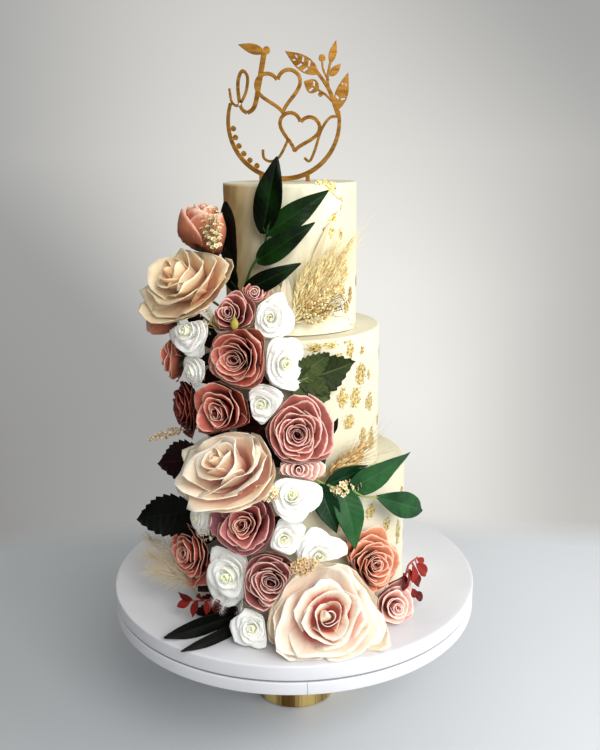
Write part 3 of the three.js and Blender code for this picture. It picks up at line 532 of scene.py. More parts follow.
board_white = Finish("satin_white", 0.38, Coat_Weight=0.15, Coat_Roughness=0.35)
rightward, backward, upright = board_white.parts(board_white.here())
sheet_white = board_white.steps(board_white.noise(9, 4.0), [(0.3, (219, 221, 228)), (0.7, (229, 231, 238))])
# painted shade: the groove under the board's rim is painted grey
off_groove = (upright - (DISC_HIGH[2] - GROOVE / 2)).size()
painted_groove_shade = board_white.spread(off_groove, GROOVE * 0.6, GROOVE * 0.4)
joint = board_white.spread((rightward - JOINT_AT).size(), JOINT_HALF * 2, JOINT_HALF)
joint = joint * board_white.spread(backward, DISC_LOW[1] * 0.95, DISC_LOW[1] * 0.97)
joint = joint * board_white.spread(upright, DISC_HIGH[2] - GROOVE, DISC_HIGH[2] - GROOVE * 1.2)
white_with_groove_shade = board_white.blend(painted_groove_shade, sheet_white, GROOVE_SHADE_AND_JOINT_GREY)
board_white.paint(board_white.blend(joint * 0.6, white_with_groove_shade, GROOVE_SHADE_AND_JOINT_GREY))
board_white.shine(board_white.noise(26, 3.0), 0.32, 0.46)
board_white.grain(board_white.noise(600, 2.0), 0.06, 0.0001)


def white_disc(name, low_corner, high_corner, node, groove=0.0):
    """A flat disc with rounded rims; a groove lowers its top along the rim."""
    radius, top = high_corner[0], high_corner[2]
    profile = rounded(radius, low_corner[2], top - groove, RIM_EDGE)
    if groove:
        inner = radius - GROOVE_DEEP
        profile = profile[:-3] + [(inner, top - groove), (inner - groove, top), (radius * 0.5, top), (0, top)]
    return dress(turned(name, profile, board_white.material, DISC_SIDES), "board_white", node)


white_disc("disc_white", DISC_LOW, DISC_HIGH, "stand_disc", GROOVE)
white_disc("board_white_top", BOARD_LOW, BOARD_HIGH, "cake_board")
print("disc and board are", round(2 * BOARD_HIGH[0], 3), "m across")

# %% [markdown]
# Whatever repeats or follows a rule on this cake is grown by Geometry Nodes: the petals of a rose, the
# scraps of gold leaf, the grains and hairs of an ear, the florets of a spray. All those trees begin and
# end alike, and all use random numbers and carried numbers, so these steps are written once.

# %% Geometry Nodes helper
class Growth(Wiring):
    """A Geometry Nodes tree with named inputs, and the boxes that such trees share."""

    def __init__(self, name, inputs):
        super().__init__(bpy.data.node_groups.new(name, "GeometryNodeTree"))
        sockets = self.tree.interface
        sockets.new_socket("Geometry", in_out="INPUT", socket_type="NodeSocketGeometry")
        for label, value in inputs.items():
            kind = "NodeSocketInt" if isinstance(value, int) else "NodeSocketFloat"
            sockets.new_socket(label, in_out="INPUT", socket_type=kind).default_value = value
        sockets.new_socket("Material", in_out="INPUT", socket_type="NodeSocketMaterial")
        sockets.new_socket("Geometry", in_out="OUTPUT", socket_type="NodeSocketGeometry")
        self.given = {end.name: Wire(self, end) for end in self.node("NodeGroupInput").outputs}
        self.index = self.box("GeometryNodeInputIndex")

    def here(self):
        """The place of each point."""
        return self.box("GeometryNodeInputPosition")

    def carry(self, geometry, name, value, domain="POINT"):
        """Stores a number on the geometry under a name."""
        return self.box("GeometryNodeStoreNamedAttribute", geometry, data_type="FLOAT", domain=domain,
                        Name=name, Value=value)

    def recall(self, *names):
        """Numbers stored earlier."""
        return [self.box("GeometryNodeInputNamedAttribute", data_type="FLOAT", Name=name) for name in names]

    def drawn(self, number, shift):
        """A random number from -1 to 1 for each numbered thing; each shift of the seed gives another."""
        return self.box("FunctionNodeRandomValue", data_type="FLOAT", ID=number, in2=-1.0, in3=1.0,
                        Seed=self.given["Seed"] + shift, out=1)

    def between(self, first, last, share):
        """The number that lies this share of the way from one input to another."""
        return self.given[first] + (self.given[last] - self.given[first]) * share

    def moved(self, geometry, **how):
        return self.box("GeometryNodeSetPosition", geometry, **how)

    def planted(self, seats, thing, **how):
        """One instance of a thing for each seat."""
        return self.box("GeometryNodeInstanceOnPoints", seats, Instance=thing, **how)

    def real(self, geometry):
        return self.box("GeometryNodeRealizeInstances", geometry)

    def copies(self, seats, thing):
        """One real copy of a thing for each seat, carrying its number."""
        return self.real(self.carry(self.planted(seats, thing), "number", self.index, "INSTANCE"))

    def sheet(self, columns, rows, wide=1.0, tall=1.0):
        """A flat sheet round the origin, with the x and y of its points."""
        x, y, _ = self.parts(self.here())
        return self.box("GeometryNodeMeshGrid", wide, tall, columns, rows), x, y

    def cone(self, sides, segments, top, bottom, depth, **more):
        return self.box("GeometryNodeMeshCone", Vertices=sides, Side_Segments=segments, Radius_Top=top,
                        Radius_Bottom=bottom, Depth=depth, **more)

    def lifted(self, geometry, up):
        return self.box("GeometryNodeTransform", geometry, Translation=(0, 0, up))

    def facing(self, direction):
        """A rotation that turns +Z to a direction."""
        return self.box("FunctionNodeAlignRotationToVector", axis="Z", Vector=direction)

    def joined(self, *parts):
        node = self.node("GeometryNodeJoinGeometry")
        for part in parts:
            self.feed(node.inputs[0], part)
        return Wire(self, node.outputs[0])

    def smoothed(self, geometry):
        return self.box("GeometryNodeSetShadeSmooth", geometry)

    def closed(self, geometry):
        """The last two boxes of every tree: real mesh instead of instances, and its material."""
        clad = self.box("GeometryNodeSetMaterial", self.real(geometry), Material=self.given["Material"])
        self.node("NodeGroupOutput", clad)
        return self.tree


print("every tree ends in real mesh with a material")

# %% [markdown]
# A tree is put to work by a Geometry Nodes modifier on a seed mesh of loose points. The modifier knows
# its inputs by the sockets' identifiers, so `grow` looks each name up once. Later `baked` or `thickened`
# makes the result plain mesh.

# %% Growing a piece from a tree
def grow(tree, name, inputs, material, seed_points=((0, 0, 0),), carried=None):
    """Runs a tree on a seed mesh of loose points; gives the grown piece with its modifier still live."""
    piece = make_piece(name, seed_points, [], material, carried=carried)
    modifier = piece.modifiers.new("grow", "NODES")
    modifier.node_group = tree
    wanted = {"Material": material, **inputs}
    for item in tree.interface.items_tree:
        if item.in_out == "INPUT" and item.name in wanted:
            modifier[item.identifier] = wanted[item.name]
    return piece


print("seed meshes have one point for each thing that grows, or one in all")

# %% [markdown]
# The tiers are covered in buttercream, smoothed with a scraper while the cake turns. That leaves a wall
# that is almost true, with shallow waves that run round it, and an edge that is crisp but not sharp. A
# plain lathe would give a plastic drum, so the lathe's points are moved by slow waves of a fifth of a
# millimetre, and the material adds the fine grain of whipped icing.

# %% Icing tiers
icing = Finish("buttercream", 0.55, Subsurface_Weight=0.2, Subsurface_Scale=0.006,
               Subsurface_Radius=(1.0, 0.8, 0.5))
icing.paint(icing.steps(icing.noise(14, 4.0), [(0.3, (220, 214, 186)), (0.7, (229, 224, 202))]))
icing.shine(icing.noise(60, 3.0), 0.45, 0.62)
icing.grain(icing.noise(90, 5.0, icing.here((1, 1, 2.5))) + icing.noise(900, 2.0) * 0.2, 0.16, 0.0008)

TIER_RADII = {"tier_bottom": 114 * MM, "tier_middle": 86.5 * MM, "tier_top": 63.5 * MM}
TIER_FEET = {node: box_of(node)[0][2] for node in TIER_RADII}
TIER_TOPS = {node: box_of(node)[1][2] for node in TIER_RADII}
TOP_RINGS = (0.97, 0.9, 0.8, 0.65, 0.5, 0.35, 0.2, 0.08)
ICING_EDGE = 1.6 * MM
WALL_ROWS = 36
TIER_SIDES = 200
SCRAPE = 0.2 * MM


def icing_tier(node):
    radius, foot, top = TIER_RADII[node], TIER_FEET[node], TIER_TOPS[node]
    rim, shoulder = radius - ICING_EDGE, top - ICING_EDGE
    profile = [(0, foot), (radius * 0.5, foot), (radius * 0.98, foot)]
    profile += [(radius, foot + (shoulder - foot) * row / WALL_ROWS) for row in range(WALL_ROWS)]
    profile += [(rim + ICING_EDGE * math.cos(a), shoulder + ICING_EDGE * math.sin(a))
                for a in np.linspace(0, math.pi / 2, 6)]
    profile += [(rim * share, top) for share in TOP_RINGS] + [(0, top)]
    tier = turned("icing_" + node, profile, icing.material, TIER_SIDES)
    points = points_of(tier.data)
    turn = np.arctan2(points[:, 0], -points[:, 1])
    up = (points[:, 2] - foot) / MM
    wave = np.sin(0.21 * up + 1.5 * np.sin(turn)) + 0.8 * np.sin(3 * turn + 0.05 * up)
    wave += 0.5 * np.sin(0.5 * up)
    reach = np.hypot(points[:, 0], points[:, 1])
    points[:, :2] *= (1 + SCRAPE * 0.5 * wave / np.maximum(reach, radius * 0.5))[:, None]
    swirl = np.sin(reach / MM * 0.35 + 2 * turn) * (reach < radius * 0.95) * (points[:, 2] > top - MM / 2)
    points[:, 2] += SCRAPE * 0.6 * swirl
    set_points(tier, points)
    return dress(tier, "icing_ivory", node)


tiers = [icing_tier(node) for node in TIER_RADII]
print("icing faces:", [len(tier.data.polygons) for tier in tiers])

# %% [markdown]
# Scraps of gold leaf are pressed on the icing here and there. Leaf tears into lacy patches and lies in
# fine wrinkles. Each scrap starts as a sheet, laid on the wall by its place, width and height. A noise
# pattern that gets harsher towards the sheet's rim tears it: the tree deletes every face where the
# pattern falls below a limit. What is left gets the thickness of a film.

# %% The tearing rule of gold leaf
LEAF_INPUTS = {"Tear": 0.385, "Wrinkle": 0.0003, "Proud": 0.0002, "Seed": 1}
LEAF_LABELS = ("radius", "turn", "up", "wide", "tall")


def gold_leaf_tree():
    g = Growth("gold_leaf", LEAF_INPUTS)
    film, x, y = g.sheet(21, 25, 2.0, 2.0)
    sheets = g.copies(g.given["Geometry"], g.carry(g.carry(film, "across", x), "along", y))
    across, along, number = g.recall("across", "along", "number")
    radius, turn, up, wide, tall = g.recall(*LEAF_LABELS)
    own = g.vector(across * wide * 900 + number * 13, along * tall * 900, number * 7.3 + g.given["Seed"])
    lace = g.noise(0.42, 4.0, own, Roughness=0.62)
    crease = g.noise(0.9, 2.0, own)
    angle = turn + across * wide / radius
    out = radius + g.given["Proud"] + g.given["Wrinkle"] * crease
    laid = g.moved(sheets, Position=g.vector(out * angle.sin(), (0 - out) * angle.cos(), up + along * tall))
    rim = (across * across + along * along) ** 1.2
    gone = g.box("FunctionNodeCompare", g.given["Tear"] + rim * 0.22 - lace, 0.0, data_type="FLOAT",
                 operation="GREATER_THAN")
    left = g.box("GeometryNodeDeleteGeometry", laid, domain="FACE", Selection=gone)
    return g.closed(g.carry(left, "crease", crease))


gold_leaf = gold_leaf_tree()
print("the leaf tree has", len(gold_leaf.nodes), "boxes")

# %% [markdown]
# The front scraps are placed one by one, where the cascade leaves the icing bare. Round the sides and the
# back they follow a loose rule. The film is browner where it lies double and pale where it is rubbed.

# %% Scraps of gold leaf
LEAF_TINTS = [(0.34, (142, 108, 48)), (0.48, (212, 184, 106)), (0.68, (246, 232, 172))]

gold_film = Finish("gold_leaf_film", 0.36, Metallic=0.6)
dulled = gold_film.noise(420, 4.0)
gold_film.paint(gold_film.steps(dulled, LEAF_TINTS))
gold_film.shine(dulled, 0.5, 0.28)
gold_film.grain(gold_film.carried("crease")[0] + dulled * 0.5, 0.5, 0.0006)

# by tier: degrees round, mm above the board, half width and half height in mm
FRONT_SCRAPS = {
    "tier_middle": [
        (14, 257, 10, 5), (24, 258, 8, 4), (38, 251, 5, 9), (49, 248, 4, 4), (48, 226, 9, 14),
        (57, 222, 3, 6), (33, 206, 7, 11), (43, 204, 8, 11), (58, 195, 8, 10), (37, 182, 8, 8),
        (51, 163, 6, 11), (62, 156, 8, 12), (8, 240, 6, 7), (30, 247, 4, 3), (12, 247, 4, 3),
        (35, 259, 4, 2)],
    "tier_bottom": [
        (39, 100, 7, 9), (51, 78, 9, 8), (42, 76, 7, 6), (65, 60, 7, 14), (56, 47, 6, 6), (30, 112, 7, 7),
        (21, 96, 6, 8), (71, 98, 7, 8)],
    "tier_top": [
        (26, 401, 8, 3), (35, 396, 7, 7), (44, 383, 6, 5), (37, 372, 6, 8), (36, 357, 4, 6), (22, 374, 3, 3),
        (46, 355, 3, 5), (51, 320, 6, 14), (61, 296, 5, 9), (47, 303, 6, 10), (55, 285, 5, 6)],
}
# by tier: how many, from and to degrees round
BACK_SCRAPS = {"tier_bottom": (16, 82, 300), "tier_middle": (15, 74, 296), "tier_top": (11, 78, 282)}
GOLDEN_SHARE = 0.618
FILM_THICK = 0.12 * MM
SCRAP_SEED, LACE_SEED = 24, 5


def scrap_list():
    """All scraps as rows of (radius, turn, height, half width, half height), in metres."""
    rows = []
    for node, scraps in FRONT_SCRAPS.items():
        for around, up, wide, tall in scraps:
            rows.append((TIER_RADII[node], math.radians(around), BOARD_TOP + up * MM, wide * MM, tall * MM))
    chance = np.random.default_rng(SCRAP_SEED)
    for node, (count, start, stop) in BACK_SCRAPS.items():
        height = TIER_TOPS[node] - TIER_FEET[node]
        for i in range(count):
            around = start + (stop - start) * (i + 0.6 * chance.random()) / count
            up = TIER_FEET[node] + height * (0.12 + 0.76 * ((i * GOLDEN_SHARE + 0.25) % 1))
            wide, tall = (3.5 + 4 * chance.random()) * MM, (5 + 5 * chance.random()) * MM
            rows.append((TIER_RADII[node], math.radians(around), up, wide, tall))
    return np.array(rows)


scraps = scrap_list()
leaf_scraps = grow(gold_leaf, "gold_leaf_scraps", {"Seed": LACE_SEED}, gold_film.material,
                   np.zeros((len(scraps), 3)), dict(zip(LEAF_LABELS, scraps.T)))
dress(thickened(leaf_scraps, FILM_THICK), "topper_gold")
print(len(scraps), "scraps of gold leaf,", len(leaf_scraps.data.polygons), "faces")

# %% [markdown]
# Round the front of the top tier goes a sheet of wafer paper, a thin rice paper that wrinkles where the
# icing's damp has swollen it. Its right side is torn and the torn edge is brushed with gold. At the foot
# the sheet flares over the ledge. It is a grid bent round the tier: every row ends at the tear,
# which is a line through a few points with finer teeth added. Two numbers go with its points: how far
# each lies from the tear, and how far round it is.

# %% Torn wafer paper
WAFER_FROM = -72
WAFER_LOW, WAFER_HIGH = 1, 135
WAFER_INSIDE = 64.1
WAFER_THICK = 0.4 * MM
TEAR = [(1, 60), (12, 54), (20, 20), (46, 9), (66, 16), (86, 26), (102, 31), (118, 47), (135, 28)]
SHEET_ROWS, SHEET_COLUMNS = 90, 130
TEAR_SEED = 7
LEFT_SHADE_TINTS = [(0.05, (194, 154, 98)), (0.42, (222, 200, 156)), (0.9, (255, 255, 255))]

paper = Finish("wafer_paper", 0.7, Subsurface_Weight=0.1, Subsurface_Scale=0.003)
from_tear, turn = paper.carried("from_tear", "turn")
fibre = paper.noise(60, 5.0, paper.here((1, 1, 0.6)))
sheet_tint = paper.steps(fibre, [(0.2, (234, 225, 196)), (0.8, (242, 234, 208))])
# painted shade: the sheet turns darker tan towards its left end, away from the light
painted_left_shade = paper.steps(turn + (fibre - 0.5) * 0.2, LEFT_SHADE_TINTS, smooth=False)
sheet_tint = paper.blend(1.0, sheet_tint, painted_left_shade, "MULTIPLY")
torn_gold = paper.steps(paper.noise(500, 3.0), [(0.36, (150, 110, 48)), (0.62, (236, 206, 118))])
gilded = paper.spread(from_tear + (paper.noise(260, 4.0) - 0.5) * 5, 1.3, 0.5)
paper.paint(paper.blend(gilded, sheet_tint, torn_gold))
paper.feed(paper.shader.inputs["Metallic"], gilded * 0.8)
paper.feed(paper.shader.inputs["Roughness"], paper.spread(gilded, 0, 1, 0.7, 0.36))
paper.grain(fibre + paper.noise(700, 2.0) * 0.3, 0.3, 0.0008)


def wafer_sheet():
    chance = np.random.default_rng(TEAR_SEED)
    heights = np.linspace(WAFER_LOW, WAFER_HIGH, SHEET_ROWS)
    ends = np.interp(heights, [h for h, _ in TEAR], [a for _, a in TEAR])
    ends = ends + np.convolve(chance.normal(0, 2.4, SHEET_ROWS), (0.25, 0.5, 0.25), "same")
    share = (np.arange(SHEET_COLUMNS) / (SHEET_COLUMNS - 1)) ** 0.8
    height, end = heights[:, None], np.radians(ends)[:, None]
    around = np.radians(WAFER_FROM + (ends[:, None] - WAFER_FROM) * share)
    wrinkle = 0.3 * np.sin(9 * around + 0.09 * height) * np.sin(0.11 * height + 3 * around)
    wrinkle += 0.22 * np.sin(31 * around - 0.23 * height + 1.1 * np.sin(0.15 * height))
    to_tear = (end - around) * WAFER_INSIDE
    lift = 1.5 * np.exp(-to_tear / 3) * (0.6 + 0.4 * np.sin(0.45 * height))
    lift = lift + 4.2 * np.exp(-(height - WAFER_LOW) / 4.5)
    out = (WAFER_INSIDE + 0.75 + wrinkle + lift) * MM
    rise = np.broadcast_to(TIER_FEET["tier_top"] + height * MM, around.shape)
    points = np.stack([out * np.sin(around), -out * np.cos(around), rise], axis=-1).reshape(-1, 3)
    numbers = {"from_tear": to_tear.ravel(), "turn": (np.degrees(around).ravel() - WAFER_FROM) / 60}
    sheet = make_piece("wafer_paper_sheet", points, grid_faces(SHEET_ROWS, SHEET_COLUMNS), paper.material,
                       carried=numbers)
    return dress(thickened(sheet, WAFER_THICK), "wafer_paper", "wafer_sheet")


wafer = wafer_sheet()
print("wafer sheet", len(wafer.data.polygons), "faces")

# %% [markdown]
# The topper is a flat ornament, cut from one sheet: an open ring with two linked hearts, a few swashes, a
# row of beads and a leafy spray, on two prongs that stand in the icing. It is drawn as outlines, as for a
# laser cutter. Most strokes are ribbons round a smooth line through a few points.

# %% Lines and outlines
def smooth_line(points, count, doubled_ends=False):
    """A smooth line through a few points. Doubled ends make it leave its first point more gently."""
    first, last = np.array(points[:2], float), np.array(points[-2:], float)
    before = first[0] if doubled_ends else 2 * first[0] - first[1]
    after = last[1] if doubled_ends else 2 * last[1] - last[0]
    knots = np.array([before, *points, after], float)
    line = []
    for at in np.linspace(0, len(points) - 1, count):
        start = min(int(at), len(points) - 2)
        t = at - start
        a, b, c, d = knots[start:start + 4]
        line.append(0.5 * (2 * b + (c - a) * t + (2 * a - 5 * b + 4 * c - d) * t**2
                           + (3 * b - a - 3 * c + d) * t**3))
    return np.array(line)


def ribbon(points, width):
    """An outline round a flat line; width is a number, or one for each point."""
    line = np.array(points, float)
    ahead = np.roll(line, -1, axis=0) - np.roll(line, 1, axis=0)
    ahead[0], ahead[-1] = line[1] - line[0], line[-1] - line[-2]
    side = np.stack([-ahead[:, 1], ahead[:, 0]], axis=1) / np.linalg.norm(ahead, axis=1)[:, None]
    half = np.resize(width, len(line))[:, None] / 2
    return [[*(line - side * half), *(line + side * half)[::-1]]]


def heart(x, y, size, tilt):
    """Both halves of a heart, each as a line from the notch round to the point."""
    a = np.linspace(0.09, 1, 30) * math.pi
    wave = size * (13 * np.cos(a) - 5 * np.cos(2 * a) - 2 * np.cos(3 * a) - np.cos(4 * a)) / 34
    swells = [side * size * 16 * np.sin(a) ** 3 / 34 for side in (-1, 1)]
    return [np.stack([x + swell * math.cos(tilt) - wave * math.sin(tilt),
                      y + swell * math.sin(tilt) + wave * math.cos(tilt)], axis=1) for swell in swells]


def flat_leaf(x, y, length, width, direction, slits):
    """A pointed leaf with slits beside its midrib."""
    a = math.radians(direction)

    def at(s, w):
        return (x + s * math.cos(a) - w * math.sin(a), y + s * math.sin(a) + w * math.cos(a))

    def half(t):
        return width / 2 * math.sin(math.pi * min(t, 1) ** 0.8)

    steps = np.linspace(0, 1, 19)
    loops = [[at(length * t, -half(t)) for t in steps] + [at(length * t, half(t)) for t in steps[-2:0:-1]]]
    for i in range(slits):
        s = length * (0.28 + 0.36 * i / max(1, slits - 1))
        for sign in (-1, 1):
            near, far = sign * 0.9, sign * (half((s + 4) / length) - 1.3)
            loops.append([at(s, near), at(s + 2.2, near), at(s + 4, far), at(s + 2, far)])
    return loops


def flat_dot(x, y, radius):
    return [[(x + radius * math.cos(a), y + radius * math.sin(a)) for a in round_angles(20)]]


print("a dot has", len(flat_dot(0, 0, 1)[0]), "corners")

# %% [markdown]
# The drawing itself is made in millimetres round the middle of the ring. The ring is open at the top,
# where the larger heart and the leafy spray rise out of it.

# %% Topper drawing
TOPPER_RADIUS = 52
TOPPER_RISE = 54.8
TOPPER_SHIFT = -5
TOPPER_THICK = 3
HEART_STROKE = 3.4
PRONGS, PRONG_WIDTH, PRONG_DEPTH = (-22, 22), 4, 38
RING_FROM, RING_SWEEP = 161, 209
LOOP = [(-50, 30), (-48, 18), (-42, 15), (-35, 26), (-33, 40), (-38, 45), (-42, 34), (-40, 14), (-34, 8)]
# points, how many steps, width at both ends
SWASHES = [
    (LOOP, 50, 2.2, 3.6),
    ([(-34, 8), (-27, 14), (-22, 36), (-17, 62)], 24, 3.6, 5.2),
    ([(-20, -25), (-19, -33), (-12, -36), (-4, -31), (4, -16)], 28, 2.6, 2.6),
    ([(51, 4), (43, 3), (35, -8), (29, -26), (24, -36), (19, -33)], 32, 2.6, 2.6),
    ([(51, 6), (48, 14), (43, 27), (38, 35), (29, 47)], 24, 4.6, 2.8),
    ([(43, 26), (41, 38), (44, 54)], 16, 2.4, 2.4),
    ([(47, 16), (40, 23), (31, 29)], 16, 2.2, 2.2),
    ([(42, 36), (37, 46), (36, 55)], 16, 1.9, 1.9),
]
# foot, length, width, direction in degrees, slits
TOPPER_LEAVES = [(-16, 61, 26, 9, 164, 0), (33, 42, 37, 14, 147, 3), (49, 9, 36, 12, 72, 2),
                 (43.5, 51, 21, 7, 75, 0), (43, 40, 15, 7, 46, 0), (33, 28, 16, 13, 152, 1)]
TOPPER_DOTS = [(-15, 63, 3.4), (36, 56, 3.2), (34.5, 24, 2.2)]


def on_ring(degrees, radius):
    return (radius * math.cos(math.radians(degrees)), radius * math.sin(math.radians(degrees)))


def topper_shapes():
    shares = np.linspace(0, 1, 90)
    band = [on_ring(RING_FROM + RING_SWEEP * t, TOPPER_RADIUS) for t in shares]
    shapes = [ribbon(band, 4.6 * (0.68 + 0.32 * np.sin(math.pi * shares)))]
    shapes += [ribbon(half, HEART_STROKE) for half in heart(-4, 29, 44, 0.16) + heart(14, -8, 40, -0.22)]
    shapes += [ribbon(smooth_line(points, count, True), np.linspace(first, last, count))
               for points, count, first, last in SWASHES]
    shapes += [flat_dot(*on_ring(187 + 10 * i, TOPPER_RADIUS - 4.4), 2.6) for i in range(6)]
    shapes += [flat_leaf(*leaf) for leaf in TOPPER_LEAVES]
    shapes += [flat_dot(*dot) for dot in TOPPER_DOTS]
    foot, half = -TOPPER_RISE - PRONG_DEPTH, PRONG_WIDTH / 2
    for x in PRONGS:
        ring_at = -math.sqrt(TOPPER_RADIUS**2 - x**2)
        shapes.append([[(x - half, foot), (x + half, foot), (x + half, ring_at), (x - half, ring_at)]])
    return shapes


print(len(topper_shapes()), "shapes in the topper")

# %% [markdown]
# Blender's flat curves fill such outlines, with holes, and give them thickness and a small bevel. Every
# stroke is a hundredth of a millimetre thinner than the one before, so that no two faces lie in the same
# plane where strokes cross.

# %% Cut the topper
BEVEL = 0.25
THINNER = 0.01

gold_sheet = Finish("gold_topper", 0.3, Metallic=0.9)
rubbed = gold_sheet.noise(40, 4.0, gold_sheet.here((1, 1, 6)))
gold_sheet.paint(gold_sheet.steps(rubbed, [(0.3, (128, 86, 30)), (0.7, (172, 124, 54))]))
gold_sheet.shine(gold_sheet.noise(160, 3.0), 0.26, 0.42)
gold_sheet.grain(gold_sheet.noise(900, 2.0), 0.1, 0.0002)


def cut(name, loops, thick):
    """One flat shape, cut from sheet: the first loop is its outline and the others are holes."""
    curve = bpy.data.curves.new(name, "CURVE")
    curve.dimensions = "2D"
    curve.fill_mode = "BOTH"
    curve.extrude = (thick / 2 - BEVEL) * MM
    curve.bevel_depth = BEVEL * MM
    curve.bevel_resolution = 1
    curve.offset = -BEVEL * MM
    for loop in loops:
        spline = curve.splines.new("POLY")
        spline.points.add(len(loop) - 1)
        spline.points.foreach_set("co", [part * MM for x, y in loop for part in (x, y, 0, 1000)])
        spline.use_cyclic_u = True
    holder = shown(name, curve)
    mesh = applied(holder)
    bpy.data.objects.remove(holder)
    return points_of(mesh), faces_of(mesh)


flat_points, topper_faces = piled([cut(f"stroke_{k}", loops, TOPPER_THICK - THINNER * k)
                                   for k, loops in enumerate(topper_shapes())])
topper_points = np.stack([flat_points[:, 0] + TOPPER_SHIFT * MM, -flat_points[:, 2],
                          flat_points[:, 1] + TIER_TOPS["tier_top"] + TOPPER_RISE * MM], axis=1)
topper = make_piece("topper_gold_sheet", topper_points, topper_faces, gold_sheet.material, smooth=False)
dress(topper, "topper_gold", "topper")
print("topper", len(topper.data.polygons), "faces")

# %% [markdown]
# Artificial roses come in a few kinds. Big garden roses have few, wide petals with rolled lips. Quartered
# roses are packed with thin petals round a sunken heart. Foam roses are small, smooth and thick-petalled.
# Buds are still tall and closed. Each kind is one column of numbers for the tree of the next step.

# %% Kinds of rose
def kinds_of(names, table):
    """Turns a table with a column for each kind into one set of numbers for each kind."""
    return {name: {label: row[k] for label, row in table.items()} for k, name in enumerate(names)}


ROSE_KINDS = ("garden", "open", "quartered", "tea", "foam", "bud")
KINDS = kinds_of(ROSE_KINDS, {
    "Petals": (22, 20, 30, 19, 14, 14),
    "Inner radius": (0.08, 0.09, 0.1, 0.1, 0.09, 0.07),
    "Outer radius": (1.1, 1.1, 1.06, 1.12, 1.0, 1.02),
    "Crown": (0.42, 0.44, 0.46, 0.5, 0.52, 1.15),
    "Rim": (-0.12, -0.3, -0.04, -0.12, -0.02, 0.9),
    "Hollow": (0.0, 0.0, 0.3, 0.12, 0.0, 0.0),
    "Depth": (0.5, 0.42, 0.46, 0.46, 0.4, 0.7),
    "Inner wrap": (1.7, 1.7, 1.3, 1.6, 1.9, 2.2),
    "Outer wrap": (1.1, 1.15, 1.05, 1.1, 1.15, 1.35),
    "Lip": (0.24, 0.22, 0.2, 0.24, 0.28, 0.03),
    "Fold": (0.14, 0.16, 0.1, 0.12, 0.06, 0.06),
    "Ruffle": (0.11, 0.12, 0.05, 0.07, 0.04, 0.04),
    "Uneven": (0.06, 0.06, 0.07, 0.05, 0.05, 0.03),
    "Rounding": (0.4, 0.38, 0.32, 0.36, 0.36, 0.4),
    "Spacing": (1.4, 1.5, 1.45, 2.1, 1.3, 0.8),
    "Lean": (0.06, 0.06, 0.08, 0.08, 0.08, 0.03),
    "Crumple": (0.3, 0.26, 0.13, 0.14, 0.09, 0.1),
    "Close": (0.4, 0.5, 0.1, 0.2, 0.4, 0.8),
    "Barrel": (0.0, 0.0, 0.0, 0.0, 0.0, 0.42),
    "Oval": (0.2, 0.15, 0.3, 0.25, 0.15, 0.0),
})
PETAL_THICK = dict(zip(ROSE_KINDS, (0.45, 0.45, 0.3, 0.35, 0.7, 0.4)))
print("kinds:", ", ".join(KINDS))

# %% [markdown]
# A rose is one rule repeated: petal after petal, each turned a fixed angle against the last, each a
# little larger, lower and more open. It could be modelled petal by petal, but so many roses ask for the
# rule itself. So the petal starts as a flat sheet with two numbers on it, `across` from edge to edge and
# `along` from foot to rim. Geometry Nodes place one sheet for each petal, and a formula in those two
# numbers and the petal's `age` in the spiral rolls it up, cups it and curls its lip.

# %% The growing rule of a rose
ROSE_INPUTS = {**KINDS["garden"], "Turn": 2.4, "Seed": 1}
PETAL_COLUMNS, PETAL_ROWS = 13, 12
QUARTER_TURN = math.pi / 2


